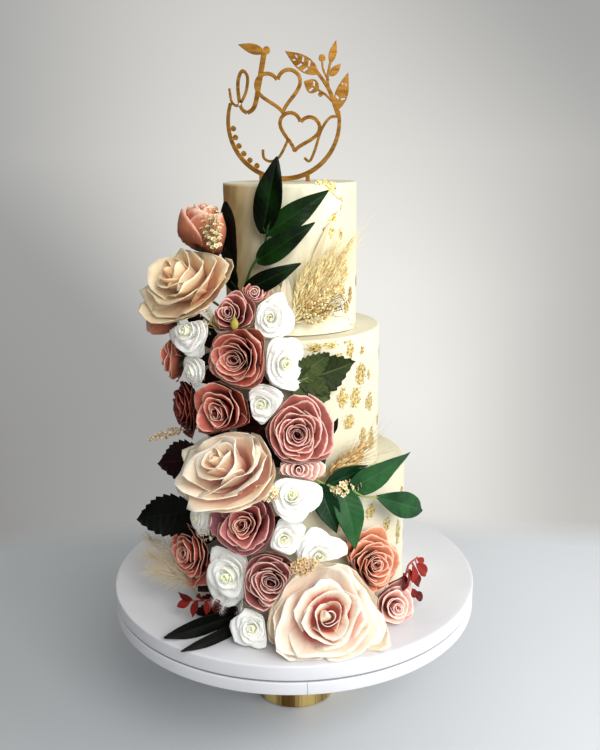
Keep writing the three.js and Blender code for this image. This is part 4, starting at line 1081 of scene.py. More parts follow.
def rose_tree():
    g = Growth("rose_spiral", ROSE_INPUTS)
    given = g.given

    # One flat sheet for each petal of the spiral, numbered from the middle outwards.
    sheet, x, y = g.sheet(PETAL_COLUMNS, PETAL_ROWS)
    petal = g.carry(g.carry(sheet, "across", x * 2), "along", y + 0.5)
    sheets = g.copies(g.box("GeometryNodeMeshLine", given["Petals"]), petal)

    # The formula. "age" is 0 at the middle of the rose and 1 at its last petal.
    across, along, number = g.recall("across", "along", "number")
    age = number / (given["Petals"] - 1)
    chance = [g.drawn(number, k) for k in range(5)]
    share = g.between("Inner radius", "Outer radius", age ** given["Spacing"])
    reach = share * (chance[1] * given["Uneven"] + 1)
    dome = (share * QUARTER_TURN).at_most(1.5).cos().at_least(0.001) ** 0.8
    height = g.between("Rim", "Crown", dome) - given["Hollow"] * (1 - share * 2.2).at_least(0)
    height = height + chance[2] * given["Uneven"] * 0.8
    wrap = g.between("Inner wrap", "Outer wrap", age ** 0.7)

    # The rim is rounded at its corners, and pointed a little in the middle.
    edge = across.size()
    corner = given["Rounding"] * (0.3 + age * 0.7)
    rise = along * (1 - corner * edge ** 2.4)
    bowl = (rise * QUARTER_TURN).sin()
    climb = 1 - (rise * QUARTER_TURN).cos()
    upright = 1 - age ** 1.5
    foot_radius = 0.04 + age * 0.1
    opened = bowl * (1 - upright * 0.35) + rise ** 0.6 * upright * 0.35
    radius = foot_radius + (reach - foot_radius) * opened
    up = (climb * (1 - upright * 0.5) + rise * upright * 0.5) * (height + given["Depth"]) - given["Depth"]

    # The lip curls outwards, most beside the petal's tip, and the two side edges roll back.
    lip = ((rise - 0.5) * 2).at_least(0) ** 2.2
    tip_pinch = 1 - (1 - (across * math.pi).sin().size()) * 0.4 * age
    curl = given["Lip"] * lip * tip_pinch * (0.2 + age * (1 + chance[3] * 0.3))
    sides = given["Fold"] * edge ** 4 * rise * (0.3 + age)
    wave = given["Ruffle"] * rise ** 2 * (across * 4 + number * 1.7 + chance[3] * 2).sin() * (0.1 + age)
    radius = radius + curl + sides + wave + across * (reach * 0.07)
    radius = radius * (1 - given["Close"] * (1 - age * 3.2).at_least(0) * rise ** 3)
    radius = radius * (1 - given["Barrel"] * rise ** 2.2)
    up = up - curl * 0.75 - sides * 0.5 + wave * 0.8

    angle = number * given["Turn"] + chance[0] * 0.25 + across * wrap * (1.12 - age * rise * 0.12)
    narrow = 1 - given["Oval"] * (1 - share).at_least(0)
    sideways = radius * angle.cos() * narrow + given["Lean"] * (1 - share)
    shaped = g.moved(sheets, Position=g.vector(sideways, radius * angle.sin(), up))

    # No petal is as even as a formula: soft noise, different on each petal, crumples it a little.
    own = g.box("ShaderNodeVectorMath", g.here(), g.vector(number * 5.7, 0.0, given["Seed"]), operation="ADD")
    folds = g.noise(1.8, 1.5, own, out="Color")
    centred = g.box("ShaderNodeVectorMath", folds, (0.5, 0.5, 0.5), operation="SUBTRACT")
    amount = given["Crumple"] * along * (0.2 + age) * 2.4
    shaped = g.moved(shaped, Offset=g.scaled(centred, amount))
    return g.closed(g.smoothed(g.carry(g.carry(shaped, "age", age), "tone", chance[4])))


rose_spiral = rose_tree()
print("the rose tree has", len(rose_spiral.nodes), "boxes")

# %% [markdown]
# Fabric petals are dyed in a full colour on the face. A pale tint along the rim is a painted highlight,
# and a dark tint towards the foot, where the petals hide each other, is painted shade. The heart of the
# rose may have its own tint, and so may the outermost petals. All of that follows the numbers each petal
# carries, so it moves with the petal and needs no painted picture. Fine streaks run from foot to rim, as
# in pressed silk or foam.

# %% Petal finishes
SEPAL_GREEN, MAUVE, AMBER, WINE = (70, 92, 50), (196, 124, 138), (240, 160, 116), (74, 26, 24)
# rim (a painted highlight), face, foot (painted shade), heart and outermost petals
PETAL_TINTS = {
    "peach": ((255, 250, 240), (252, 238, 219), (236, 104, 86), (254, 238, 216), (248, 230, 198)),
    "apricot": ((255, 249, 234), (254, 236, 210), (206, 88, 56), (252, 218, 180), (252, 242, 210)),
    "honey": ((254, 242, 210), (250, 228, 192), (196, 92, 56), (244, 194, 150), (248, 234, 194)),
    "coral": ((253, 210, 190), (232, 122, 104), (82, 14, 13), (122, 38, 36), (204, 114, 98)),
    "dusty": ((252, 212, 200), (200, 109, 99), (68, 12, 15), (112, 32, 34), (196, 118, 108)),
    "rust": ((176, 90, 74), (112, 36, 30), (40, 8, 8), (74, 18, 18), (130, 54, 42)),
    "pink": ((255, 238, 228), (254, 212, 200), (172, 66, 62), (206, 112, 102), (246, 198, 186)),
    "white": ((255, 255, 250), (255, 255, 252), (246, 244, 238), (236, 238, 176), (255, 254, 248)),
}
# what differs from plain silk; `shadow` is where the foot's painted shade begins, and where it is full on
# the innermost and on the outermost petals; `through` sets a faint painted glow in the rim's tint
SOFT_SILK = {"glow": 0.12, "streaky": 0.07, "rim_highlight": 0.5, "through": 0.03}
PETAL_WAYS = {
    "peach": {**SOFT_SILK, "shadow": (0.95, 0.76, -0.3), "sharp": 2.2, "deep_ages": (0.4, 0.8)},
    "apricot": {**SOFT_SILK, "shadow": (0.94, 0.56, -0.2), "sharp": 1.2},
    "honey": {"shadow": (0.9, 0.54, -0.2), "glow": 0.1, "streaky": 0.09, "rim_highlight": 0.35, "sharp": 1.2,
              "through": 0.02},
    "pink": {"shadow": (0.94, 0.55, -0.1)},
    "white": {"shadow": (0.8, 0.4, -0.3), "roughness": 0.7, "glow": 0.3, "streaky": 0.03, "through": 0.06},
}


def petal_finish(name, rim, face, foot_shade, heart, outer, shadow=(1.0, 0.7, 0.2), roughness=0.62, glow=0.06,
                 streaky=0.14, rim_highlight=0.8, sharp=1, through=0.0, deep_ages=(0.0, 1.0)):
    """A petal's material from five tints."""
    # the emission is a faint painted glow in the rim's tint
    finish = Finish(name, roughness, Subsurface_Weight=glow, Subsurface_Scale=0.004,
                    Subsurface_Radius=(1.0, 0.6, 0.4), Specular_IOR_Level=0.3,
                    Emission_Color=colour(*rim), Emission_Strength=through)
    across, along, age, tone = finish.carried("across", "along", "age", "tone")
    mauve, amber, dark, green = finish.carried("mauve", "amber", "dark", "green")
    streak = finish.noise(1.0, 3.0, finish.vector(across * 9, along * 1.3, age * 40), Distortion=0.4)
    height = along + (streak - 0.5) * 0.14 + (finish.noise(120, 2.0) - 0.5) * 0.08
    # painted highlight: the rim's pale tint near the top of each petal
    body = finish.steps(height, [(0.5, face), (0.92, face), (1.0, rim)], smooth=False)
    body = finish.blend(finish.spread(age, 0.3, 0.04), body, heart)
    body = finish.blend(finish.spread(age + tone * 0.06, 0.7, 0.98, 0, 0.8), body, outer)
    body = finish.blend(mauve * finish.spread(age, 0.3, 0.8), body, MAUVE)
    body = finish.blend(amber * finish.spread(age, 0.2, 0.6, 0.2, 0.7), body, AMBER)
    body = finish.blend(dark, body, WINE)
    # painted shade: the foot's tint, full low on the petal and fading out towards the rim
    lit_down_to = finish.spread(age, *deep_ages, shadow[1], shadow[2])
    depth = ((shadow[0] - height) / (shadow[0] - lit_down_to)).at_least(0).at_most(1)
    body = finish.blend(depth ** sharp, body, foot_shade)
    # painted highlight: a thin pale line along the cut edge
    lip = finish.spread(across.size().at_least(along), 0.94, 0.99)
    body = finish.blend(lip * rim_highlight, body, rim)
    shade = finish.spread(streak + tone * 0.08, 0.25, 0.75, 1 - streaky, 1 + streaky * 0.5)
    finish.paint(finish.blend(green, finish.scaled(body, shade), SEPAL_GREEN))
    finish.grain(streak + finish.noise(1400, 1.0) * 0.35, 0.3, 0.0004)
    return finish.material


PETALS = {tint: petal_finish("petals_" + tint, *tints, **PETAL_WAYS.get(tint, {}))
          for tint, tints in PETAL_TINTS.items()}
print("petal finishes:", ", ".join(PETALS))

# %% [markdown]
# The cascade is a list: which kind and tint, how wide the head is, where its middle sits and which way it
# looks. `room` says how much of its own width a head claims from its neighbours.

# %% The cascade's roses
# name, kind, tint, width in mm, [degrees round, mm out, mm up], [look round, look up], room
ROSES = [
    ("rose_bud_coral", "bud", "coral", 60, (-53.5, 101, 351), (50, 82), 1),
    ("rose_peach_upper", "open", "honey", 110, (-51.5, 123, 319), (-46, 40), 0.82),
    ("rose_coral_side", "bud", "coral", 32, (-67, 128, 276), (-95, -20), 1),
    ("rose_white_1", "foam", "white", 43, (-44.5, 129, 274), (-38, 10), 1.1),
    ("rose_dusty_1", "tea", "dusty", 48, (-29, 108, 291), (-14, 24), 1),
    ("rose_pink_tiny", "foam", "dusty", 22, (-22, 88, 307), (-8, 20), 1),
    ("rose_white_2", "foam", "white", 40, (-11, 92, 284), (-6, 15), 1),
    ("rose_coral_1", "quartered", "coral", 63, (-24, 120, 255), (-32, 8), 1),
    ("rose_rust_1", "quartered", "coral", 48, (-66, 124, 242), (-92, 4), 1),
    ("rose_white_3", "foam", "white", 32, (-45, 124, 238), (-52, -5), 1),
    ("rose_white_4", "foam", "white", 48, (-4, 107, 250), (20, 8), 1),
    ("rose_white_5", "foam", "white", 40, (-13, 114, 212), (-16, 4), 1),
    ("rose_rust_2", "quartered", "rust", 50, (-56, 123, 199), (-68, 0), 1),
    ("rose_coral_2", "tea", "coral", 64, (-31, 126, 205), (-28, 5), 1),
    ("rose_peach_middle", "open", "apricot", 112, (-24, 142, 161), (-38, 44), 0.78),
    ("rose_dusty_2", "quartered", "dusty", 62, (2, 116, 188), (5, 12), 1),
    ("rose_pink_small", "foam", "pink", 40, (2, 119, 154), (0, 12), 0.8),
    ("rose_white_6", "foam", "white", 46, (0, 133, 133), (-2, 40), 1),
    ("rose_coral_3", "tea", "coral", 64, (-18, 143, 110), (-20, 20), 1),
    ("rose_white_7", "foam", "white", 34, (-40, 134, 101), (-56, 8), 1),
    ("rose_coral_4", "quartered", "coral", 58, (-48, 136, 63), (-56, 6), 1),
    ("rose_white_8", "foam", "white", 55, (-23.5, 146, 60), (-26, 6), 1),
    ("rose_white_9", "foam", "white", 41, (-3, 138, 96), (-2, 14), 1),
    ("rose_white_10", "foam", "white", 45, (9, 139, 80), (4, 20), 1.15),
    ("rose_dusty_3", "quartered", "dusty", 62, (-8, 152, 59), (-8, 20), 1.06),
    ("rose_white_11", "foam", "white", 37, (-13, 160, 20), (-14, 16), 1.1),
    ("rose_peach_lower", "garden", "peach", 126, (9.5, 156, 28), (4, 34), 0.88),
    ("rose_coral_5", "quartered", "coral", 58, (32.5, 136, 56), (36, 12), 1),
    ("rose_pink_low", "foam", "pink", 46, (38, 149, 19), (26, 12), 1),
]
# Dye lots differ: some heads have mauve outer petals, some are more amber or darker than their kind.
DYE_LOTS = {
    "mauve": {"rose_coral_3": 0.9, "rose_dusty_1": 0.2, "rose_dusty_3": 0.4, "rose_pink_low": 0.5},
    "amber": {"rose_coral_5": 1.0, "rose_bud_coral": 0.8, "rose_coral_side": 0.7, "rose_pink_low": 0.4,
              "rose_rust_1": 0.35},
    "dark": {"rose_dusty_3": 0.4, "rose_rust_2": 0.5, "rose_bud_coral": 0.12},
}
# Some heads are squeezed sideways or upwards: how wide and how tall they are against a round one.
SQUEEZED = {"rose_white_1": (1.0, 1.1), "rose_white_2": (0.84, 1.1), "rose_white_4": (0.78, 1.14),
            "rose_dusty_2": (0.88, 1.08), "rose_peach_upper": (0.98, 0.84),
            "rose_peach_middle": (1.12, 0.92), "rose_peach_lower": (1.06, 1.0)}
print(len(ROSES), "roses in the cascade")

# %% [markdown]
# Heads that are pushed together give way to each other. Each rose keeps to a cell of its own, walled off
# by flat walls against its neighbours, the cake and the board, and its petals are pressed softly against
# those walls. That way petals hardly ever cross into another rose.

# %% Cells
CELL_GAP = 0.3 * MM
WAFER_COVER = 1.7 * MM
FREE_SHARE = 0.75
CELL_ROUNDING = 9


def claim(rose):
    """Where a head's middle is, its radius, and the radius that it claims."""
    _, _, _, width, spot, _, room = rose
    return place(spot), width / 2 * MM, width / 2 * room * MM


def walls_of(rose):
    """A rose's cell as a list of (direction, how far it may reach that way)."""
    centre, radius, claimed = claim(rose)
    walls = []
    for other in ROSES:
        other_centre, other_radius, other_claimed = claim(other)
        away = other_centre - centre
        distance = np.linalg.norm(away)
        if other is rose or distance > radius + other_radius:
            continue
        share = (distance**2 + claimed**2 - other_claimed**2) / (2 * distance)
        walls.append((away / distance, share - CELL_GAP / 2))
    inward = -unit(centre * LEVEL)
    for node, tier_radius in TIER_RADII.items():
        beside = np.linalg.norm(centre * LEVEL) - tier_radius
        above = centre[2] - TIER_TOPS[node]
        cover = WAFER_COVER if node == "tier_top" else 0
        if beside > above:
            walls.append((inward, beside - cover - 2 * CELL_GAP))
        else:
            walls.append((-UP, above - CELL_GAP))
    walls.append((-UP, centre[2] - BOARD_TOP - CELL_GAP))
    return walls


def pressed(offsets, walls):
    """Squeezes points, given from the rose's middle, softly into its cell."""
    distance = np.maximum(np.linalg.norm(offsets, axis=1), 1e-9)
    closeness = np.zeros(len(offsets))
    for normal, reach in walls:
        toward = offsets @ normal / distance
        closeness += (np.maximum(toward, 0) / reach) ** CELL_ROUNDING
    limit = np.maximum(closeness, 1e-12) ** (-1 / CELL_ROUNDING)
    free = FREE_SHARE * limit
    spare = np.maximum(limit - free, 1e-9)
    squeezed = free + spare * (1 - np.exp(np.minimum(free - distance, 0) / spare))
    return offsets * np.where(distance > free, squeezed / distance, 1.0)[:, None]


print("the first rose has", len(walls_of(ROSES[0])), "walls round it")

# %% [markdown]
# In the middle of each head sits a small closed core that the first petals wrap. Under the head sits what
# the florist holds: a green calyx with five sepals, and a wired stem that runs back towards the cake. Most
# of it is hidden, but between the heads and from the side it shows.

# %% Core, calyx, sepals and stem
CORE_ROWS, CORE_SIDES = 10, 20
CALYX = [(0.05, -0.44), (0.16, -0.45), (0.22, -0.52), (0.17, -0.62), (0.09, -0.68)]
CALYX_DEPTH = 0.43
STEM_RADIUS, STEM_TIP = 1.5 * MM, 0.4 * MM
STEM_REACH = 150 * MM
SEPALS, SEPAL_ROWS = 5, 7
SEPAL_RING = ((-1, 0), (0, -0.02), (1, 0), (1, -0.02), (0, -0.045), (-1, -0.02))
UNDER_SIDES = 14


def closed_rings(rows, sides):
    """Faces of a tube of rings, closed at both ends."""
    last = (rows - 1) * sides
    ends = [tuple(range(sides))[::-1], tuple(range(last, last + sides))]
    return grid_faces(rows, sides, closed=True) + ends


def core(radius, kind):
    """Points and faces of the closed middle of a head: a furled teardrop."""
    crest = (kind["Crown"] - kind["Hollow"] - 0.04) * radius
    points = []
    for t in np.linspace(0, 1, CORE_ROWS):
        wide = kind["Inner radius"] * 0.95 * radius * math.sin(math.pi * (0.12 + 0.84 * t)) ** 0.7
        z = crest * t - 0.1 * radius * (1 - t)
        for a in round_angles(CORE_SIDES):
            furled = wide * (1 + 0.16 * math.sin(3 * a + 5 * z / radius))
            points.append((furled * math.cos(a), furled * math.sin(a), z))
    return points, closed_rings(CORE_ROWS, CORE_SIDES)


def stem_below(radius, depth):
    """Calyx and stem under a rose head of this radius, which looks along +Z."""
    rings = [(r * radius, z * radius * depth / CALYX_DEPTH) for r, z in CALYX]
    lowest = rings[-1][1]
    rings += [(STEM_RADIUS, lowest - 0.12 * radius), (STEM_RADIUS, lowest - radius), (STEM_TIP, -STEM_REACH)]
    points = [(r * math.cos(a), r * math.sin(a), z) for r, z in rings for a in round_angles(UNDER_SIDES)]
    return points, [face[::-1] for face in closed_rings(len(rings), UNDER_SIDES)]


def sepal_below(radius, depth, middle):
    """One sepal under a rose head, at this angle round it."""
    points = []
    for t in np.linspace(0, 1, SEPAL_ROWS):
        out = 0.2 + 0.5 * t
        fall = (1 - math.cos(math.asin(out))) * depth - depth - 0.05
        half = 0.012 + 0.11 * math.sin(math.pi * min(1, 0.18 + t * 0.82))
        for side, lift in SEPAL_RING:
            x, y = out * radius, side * half * radius
            points.append((x * math.cos(middle) - y * math.sin(middle),
                           x * math.sin(middle) + y * math.cos(middle), (fall + lift) * radius))
    return points, closed_rings(SEPAL_ROWS, len(SEPAL_RING))


def underside(radius, depth):
    """Points and faces of all the green under a head."""
    sepals = [sepal_below(radius, depth, middle + 0.3) for middle in round_angles(SEPALS)]
    return piled([stem_below(radius, depth), *sepals])


print(SEPALS, "sepals to a calyx")

# %% [markdown]
# The tree grows the petals, Solidify gives the fabric its thickness, and the head is scaled, turned to
# face its way, pressed into its cell and put in its place.

# %% Grow every rose
PETAL_SLOTS = {tint: f"petal_{tint}" for tint in PETALS}
PETAL_SLOTS["honey"] = PETAL_SLOTS["apricot"] = "petal_peach"
PETAL_LABELS = ("across", "along", "age", "tone")
CORE_NUMBERS, GREEN_NUMBER = (0.2, 0.9, 0.0, 0.0), 0.5
SPIN_STEP = 2.4


def head_turn(look, number):
    """Turns a head that looks up so that it looks this way, spun by its number."""
    round_by, up_by = np.radians(look)
    facing = Vector((math.cos(up_by) * math.sin(round_by), -math.cos(up_by) * math.cos(round_by),
                     math.sin(up_by)))
    spin = Matrix.Rotation(number * SPIN_STEP, 3, "Z")
    return np.array(Vector((0, 0, 1)).rotation_difference(facing).to_matrix() @ spin)


def rose_piece(rose, number):
    name, kind, tint, width, spot, look, _ = rose
    radius = width / 2 * MM
    petals = grow(rose_spiral, "head_" + name, {**KINDS[kind], "Seed": 10 * number + 3}, PETALS[tint])
    thickened(petals, PETAL_THICK[kind] * MM / radius)
    (heads, faces), carried = taken_apart(petals, PETAL_LABELS)
    parts = [(heads * radius, faces), core(radius, KINDS[kind]), underside(radius, KINDS[kind]["Depth"])]
    points, faces = piled(parts)
    counts = [len(part_points) for part_points, _ in parts]
    for label, in_core in zip(PETAL_LABELS, CORE_NUMBERS):
        carried[label] = np.append(carried[label], np.repeat([in_core, GREEN_NUMBER], counts[1:]))
    carried["green"] = np.repeat([0.0, 0.0, 1.0], counts)
    for lot, heads_of_lot in DYE_LOTS.items():
        carried[lot] = np.full(len(points), heads_of_lot.get(name, 0.0))
    slimmer, taller = SQUEEZED.get(name, (1, 1))
    offsets = points @ head_turn(look, number).T * [slimmer, 1, taller]
    settled = pressed(offsets, walls_of(rose)) + place(spot)
    piece = make_piece(name + "_petals", settled, faces, PETALS[tint], carried=carried)
    return dress(piece, PETAL_SLOTS[tint], name)


rose_pieces = [rose_piece(rose, number) for number, rose in enumerate(ROSES)]
print("petal faces in all:", sum(len(piece.data.polygons) for piece in rose_pieces))

# %% [markdown]
# The leaves are stamped from stiff fabric: a blade folded along its midrib, pressed side veins, a gently
# waved edge, and on the rose leaves a row of teeth. Every blade is a fine grid that runs from base to tip
# along a bowed line. The numbers `across` and `along` are carried on it, so that the material's veins
# follow the blade. Most finishes draw them just where the mesh has its grooves.

# %% Leaf finishes
def leaf_finish(name, dark, light, vein, roughness, veins=9.0, stem=None):
    finish = Finish(name, roughness, Specular_IOR_Level=0.12)
    across, along, tone, on_stem = finish.carried("across", "along", "tone", "stem")
    cloud = finish.noise(38, 3.0)
    body = finish.steps(cloud + (tone - 0.5) * 0.4, [(0.3, dark), (0.78, light)])
    fork = (along * veins - across.size() * 1.6).fraction() - 0.5
    side_vein = finish.spread(fork.size(), 0.09, 0.02, 0, 0.08) * finish.spread(along, 0.98, 0.85)
    mid_vein = finish.spread(across.size(), 0.06, 0.02, 0, 0.4)
    body = finish.blend(side_vein.at_least(mid_vein), body, vein)
    finish.paint(finish.blend(on_stem, body, stem or vein))
    finish.shine(finish.noise(150, 2.0), roughness - 0.07, roughness + 0.08)
    weave = finish.noise(1.0, 2.0, finish.vector(across * 60, along * 220))
    finish.grain(weave * 0.5 + cloud * 0.3, 0.25, 0.0004)
    return finish.material


LEAF_LOOKS = {
    "leaf_green": leaf_finish("leaf_deep_green", (2, 10, 2), (18, 52, 12), (40, 76, 30), 0.34),
    "leaf_fresh": leaf_finish("leaf_fresh_green", (12, 44, 22), (40, 88, 46), (66, 112, 66), 0.3,
                              stem=(140, 154, 84)),
    "leaf_olive": leaf_finish("leaf_olive_green", (34, 46, 16), (72, 86, 46), (118, 124, 84), 0.5, 7),
    "leaf_dark": leaf_finish("leaf_night_green", (2, 5, 1), (10, 18, 6), (20, 28, 12), 0.55),
    "leaf_wine": leaf_finish("leaf_wine", (22, 6, 9), (52, 14, 18), (78, 28, 30), 0.45),
    "leaf_red": leaf_finish("leaf_brick_red", (84, 14, 14), (146, 40, 32), (176, 84, 70), 0.45),
    "petal_cream": leaf_finish("palm_cream", (222, 208, 178), (246, 238, 214), (196, 178, 142), 0.6, 0),
}
print("leaf finishes:", ", ".join(LEAF_LOOKS))

# %% [markdown]
# Stems of all kinds are tubes along a smooth line. The ring of each station is set square to the line, and
# the tube thins towards its end as a wired stem does. A blade is bent the same way, but it is a sheet.

# %% Blades and tubes
BLADE_LABELS = ("across", "along", "tone")
BLADE_COLUMNS = 19
TOOTHED_ROWS, PLAIN_ROWS = 73, 41
FULLEST = 0.76


def tube(line, radius_from, radius_to, sides=8):
    """Points and faces of a tapering tube, closed at both ends."""
    ahead = unit(np.gradient(line, axis=0))
    side = unit(np.cross(ahead, UP + 0.01))
    over = np.cross(side, ahead)
    radii = np.linspace(radius_from, radius_to, len(line))
    rings = [line[i] + radii[i] * (np.cos(a) * side[i] + np.sin(a) * over[i])
             for i in range(len(line)) for a in round_angles(sides)]
    return rings, closed_rings(len(line), sides)


def blade(number, base, tip, width, bow, teeth=0, fullest=FULLEST):
    """Points, faces and carried numbers of one blade. Width, bow and teeth are in mm."""
    rows = TOOTHED_ROWS if teeth else PLAIN_ROWS
    start, end = place(base), place(tip)
    middle = (start + end) / 2
    middle = middle + 2 * bow * MM * unit(middle * LEVEL)
    t = np.linspace(0, 1, rows)[:, None]
    rib = (1 - t) ** 2 * start + 2 * t * (1 - t) * middle + t**2 * end
    ahead = unit(np.gradient(rib, axis=0))
    side = unit(np.cross(ahead, unit(rib * LEVEL)))
    face = np.cross(side, ahead)
    across = np.linspace(-1, 1, BLADE_COLUMNS)[None, :]
    swell = np.sin(math.pi * np.clip(0.012 + 0.98 * t, 0, 1) ** fullest) ** 0.9
    half = width / 2 * swell
    if teeth:
        saw = (t * 8.5 + 0.15) % 1.0
        half = half + teeth * (saw * 1.6 - 0.7) * (swell > 0.25)
    half = np.maximum(half, 0.25) * MM
    fold = -0.1 * swell * (1 - np.abs(across) ** 0.8)
    wave = 0.05 * np.sin(5 * t + number) * across * np.abs(across)
    ripple = 0.02 * np.sin(13 * t + 2 * number) * across**2
    fork = (t * 9 - np.abs(across) * 1.6) % 1.0 - 0.5
    groove = -0.012 * np.exp(-(fork / 0.13) ** 2) * (np.abs(across) > 0.04) * swell
    lift = (fold + wave + ripple + groove) * width * MM
    points = rib[:, None] + side[:, None] * (half * across)[..., None] + face[:, None] * lift[..., None]
    along = np.repeat(t, BLADE_COLUMNS, axis=1).ravel()
    tone = np.full(along.size, 0.5 + 0.5 * math.sin(2.4 * number - 1.9))
    carried = dict(zip(BLADE_LABELS, (np.repeat(across, rows, 0).ravel(), along, tone)))
    return points.reshape(-1, 3), grid_faces(rows, BLADE_COLUMNS), carried


print("a blade has", BLADE_COLUMNS, "columns")

# %% [markdown]
# The sprigs are a list: the stem as places along it, then each leaf by its base, tip, width, bow, teeth
# and how far up it is fullest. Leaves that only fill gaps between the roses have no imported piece.

# %% Sprigs and single leaves
SPRIGS = {
    "leaf_sprig_top": ("leaf_green", [(-30, 86, 304), (-26, 82, 326), (-18, 79, 345), (-14, 78, 366)], [
        ((-19, 77, 358), (-8, 76, 424), 26, 3), ((-16, 79, 358), (25, 80, 395), 22, 6),
        ((-22, 81, 334), (15, 83, 368), 21, 6, 0, 0.62), ((-30, 87, 307), (6, 84, 333), 18, 7)]),
    "leaf_sprig_right": ("leaf_fresh", [(9, 114, 143), (16, 119, 136), (24, 124, 132), (30, 127, 124),
                                        (36, 129, 121)], [
        ((14, 119, 137), (35, 119, 149), 21, 3), ((24, 124, 132), (54, 135, 155), 26, 5, 0, 0.6),
        ((36, 129, 121), (62, 141, 91), 25, 6, 0, 1.0), ((11, 119, 139), (17, 132, 96), 23, 3, 0, 0.7),
        ((21, 122, 133), (24.5, 134, 78), 27, 7, 0, 0.62), ((9, 113, 143), (17, 104, 170), 10, 2)]),
    "leaf_rose_right": ("leaf_olive", [(-2, 98, 226), (4, 98, 230), (8, 99, 233)], [
        ((3, 99, 229), (36, 97, 242), 36, 5, 1.8), ((0, 98, 230), (20, 98, 211), 30, 4, 1.6),
        ((2, 98, 232), (20, 98, 254), 24, 3, 1.6)]),
    "leaf_dark_upper": ("leaf_dark", [(-30, 87, 300), (-34, 86, 308), (-38, 88, 316)], [
        ((-33, 86, 304), (-50, 76, 385), 26, 5, 0, 1.5), ((-36, 86, 306), (-44, 84, 346), 20, 3)]),
    "leaf_dark_left": ("leaf_dark", [], [((-46, 124, 101), (-62, 168, 92), 40, 5, 1.8)]),
    "leaf_wine_left": ("leaf_wine", [], [((-46, 112, 150), (-65, 142, 141), 40, 3, 1.6)]),
    "leaf_low_left_1": ("leaf_dark", [], [((-24, 134, 14), (-39, 188, 5), 18, 4)]),
    "leaf_low_left_2": ("leaf_dark", [], [((-19, 140, 9), (-31, 195, 4), 12, 3)]),
    "palm_petals_cream": ("petal_cream", [(-2, 71, 270), (-5, 71, 280), (-7, 72, 288)], [
        ((-4, 72, 274), (-18, 78, 315), 15, 2), ((-2, 71, 272), (-4, 73, 322), 15, 3),
        ((-10, 72, 284), (-13, 73, 322), 16, 3), ((14, 68, 322), (31, 67.5, 366), 7, 1)]),
    "red_sprig_right": ("leaf_red", [(42, 134, 30), (44, 148, 42), (46, 149, 52), (50.5, 151, 56)], [
        ((44, 147, 45), (41.5, 152, 31), 11, 3, 0, 0.9), ((47.9, 150, 52), (45.5, 154, 36), 11, 3, 0, 0.9),
        ((49.5, 151, 50), (55, 154, 33), 11, 3, 0, 0.9), ((47, 150, 44), (50, 154, 27), 10, 3, 0, 0.9),
        ((46, 150, 48), (43, 153, 38), 10, 3, 0, 0.9), ((49.5, 150, 20), (54, 152, 8), 9, 2, 0, 0.9),
        ((46, 148, 26), (51, 151, 15), 8, 2, 0, 0.9), ((50, 151, 55), (54, 152, 47), 7, 2, 0, 0.9)]),
    "red_sprig_left": ("leaf_red", [(-26, 134, 30), (-33, 142, 27), (-42, 150, 22)], [
        ((-29, 138, 30), (-29, 145, 42), 8, 2), ((-33, 143, 28), (-33, 150, 16), 9, 2),
        ((-36, 146, 26), (-35, 152, 37), 8, 2), ((-40, 148, 24), (-45, 154, 30), 7, 2),
        ((-41, 149, 23), (-46, 154, 14), 8, 2), ((-31, 139, 29), (-26, 148, 24), 8, 2),
        ((-38, 147, 25), (-38, 154, 11), 8, 2), ((-28, 136, 30), (-22, 142, 36), 8, 2),
        ((-30, 139, 29), (-30, 146, 16), 9, 2), ((-33, 143, 28), (-27, 149, 33), 9, 2)]),
    "leaf_bed_middle": ("leaf_wine", [(-36, 101, 190), (-28, 102, 182), (-20, 103, 176)], [
        ((-29, 103, 183), (-5, 110, 153), 34, 2), ((-30, 102, 184), (-8, 104, 214), 30, 2),
        ((-33, 102, 187), (-60, 108, 184), 30, 4)]),
    "leaf_bed_upper": ("leaf_wine", [(-42, 103, 268), (-36, 102, 256), (-34, 101, 240)], [
        ((-39, 103, 260), (-66, 108, 286), 28, 3), ((-35, 102, 246), (-62, 106, 222), 28, 3),
        ((-34, 101, 243), (-12, 100, 228), 26, 3)]),
    "leaf_bed_lower": ("leaf_wine", [(-34, 127, 100), (-30, 128, 84), (-28, 128, 66)], [
        ((-33, 128, 92), (-56, 132, 78), 28, 3), ((-30, 128, 84), (-4, 126, 112), 28, 3),
        ((-28, 128, 70), (-42, 136, 26), 30, 3), ((-28, 128, 68), (-16, 134, 26), 28, 3)]),
}
GAP_LEAVES = {
    "leaf_bed_low": ("leaf_wine", [], [((-26, 122, 12), (-43, 140, 6), 20, 2, 1.2),
                                       ((-22, 124, 10), (-30, 150, 5), 20, 2, 1.2),
                                       ((-26, 128, 24), (-40, 138, 22), 16, 2, 1.2)]),
    "leaf_gap_tips": ("leaf_dark", [], [((19, 102, 178), (23.5, 103, 194), 7, 1),
                                        ((6.5, 106, 149), (17.5, 107, 170), 12, 1)]),
}
print(len(SPRIGS), "sprigs and leaves with a packed piece,", len(GAP_LEAVES), "without")

# %% [markdown]
# Blades get the thickness of stiff fabric. The stems start among the roses, and each leaf hangs on its
# stem by a thinner stalk of its own.

# %% Make the sprigs
BLADE_THICK = 0.5 * MM
STEM_FROM, STEM_TO, STALK_TO = 1.3 * MM, 0.8 * MM, 0.5 * MM
STALK_SAG = 0.4 * MM


def stalks_of(stem, leaves):
    """The stem as a tube, and a stalk from the stem to the foot of each leaf."""
    if not stem:
        return []
    line = smooth_line([place(spot) for spot in stem], 24)
    tubes = [tube(line, STEM_FROM, STEM_TO)]
    for base, tip, *_ in leaves:
        root = line[np.argmin(np.linalg.norm(line - place(base), axis=1))]
        neck = place(base) + 0.08 * (place(tip) - place(base))
        stalk = smooth_line([root, (root + neck) / 2 - STALK_SAG * UP, neck], 8)
        tubes.append(tube(stalk, STEM_TO, STALK_TO))
    return tubes


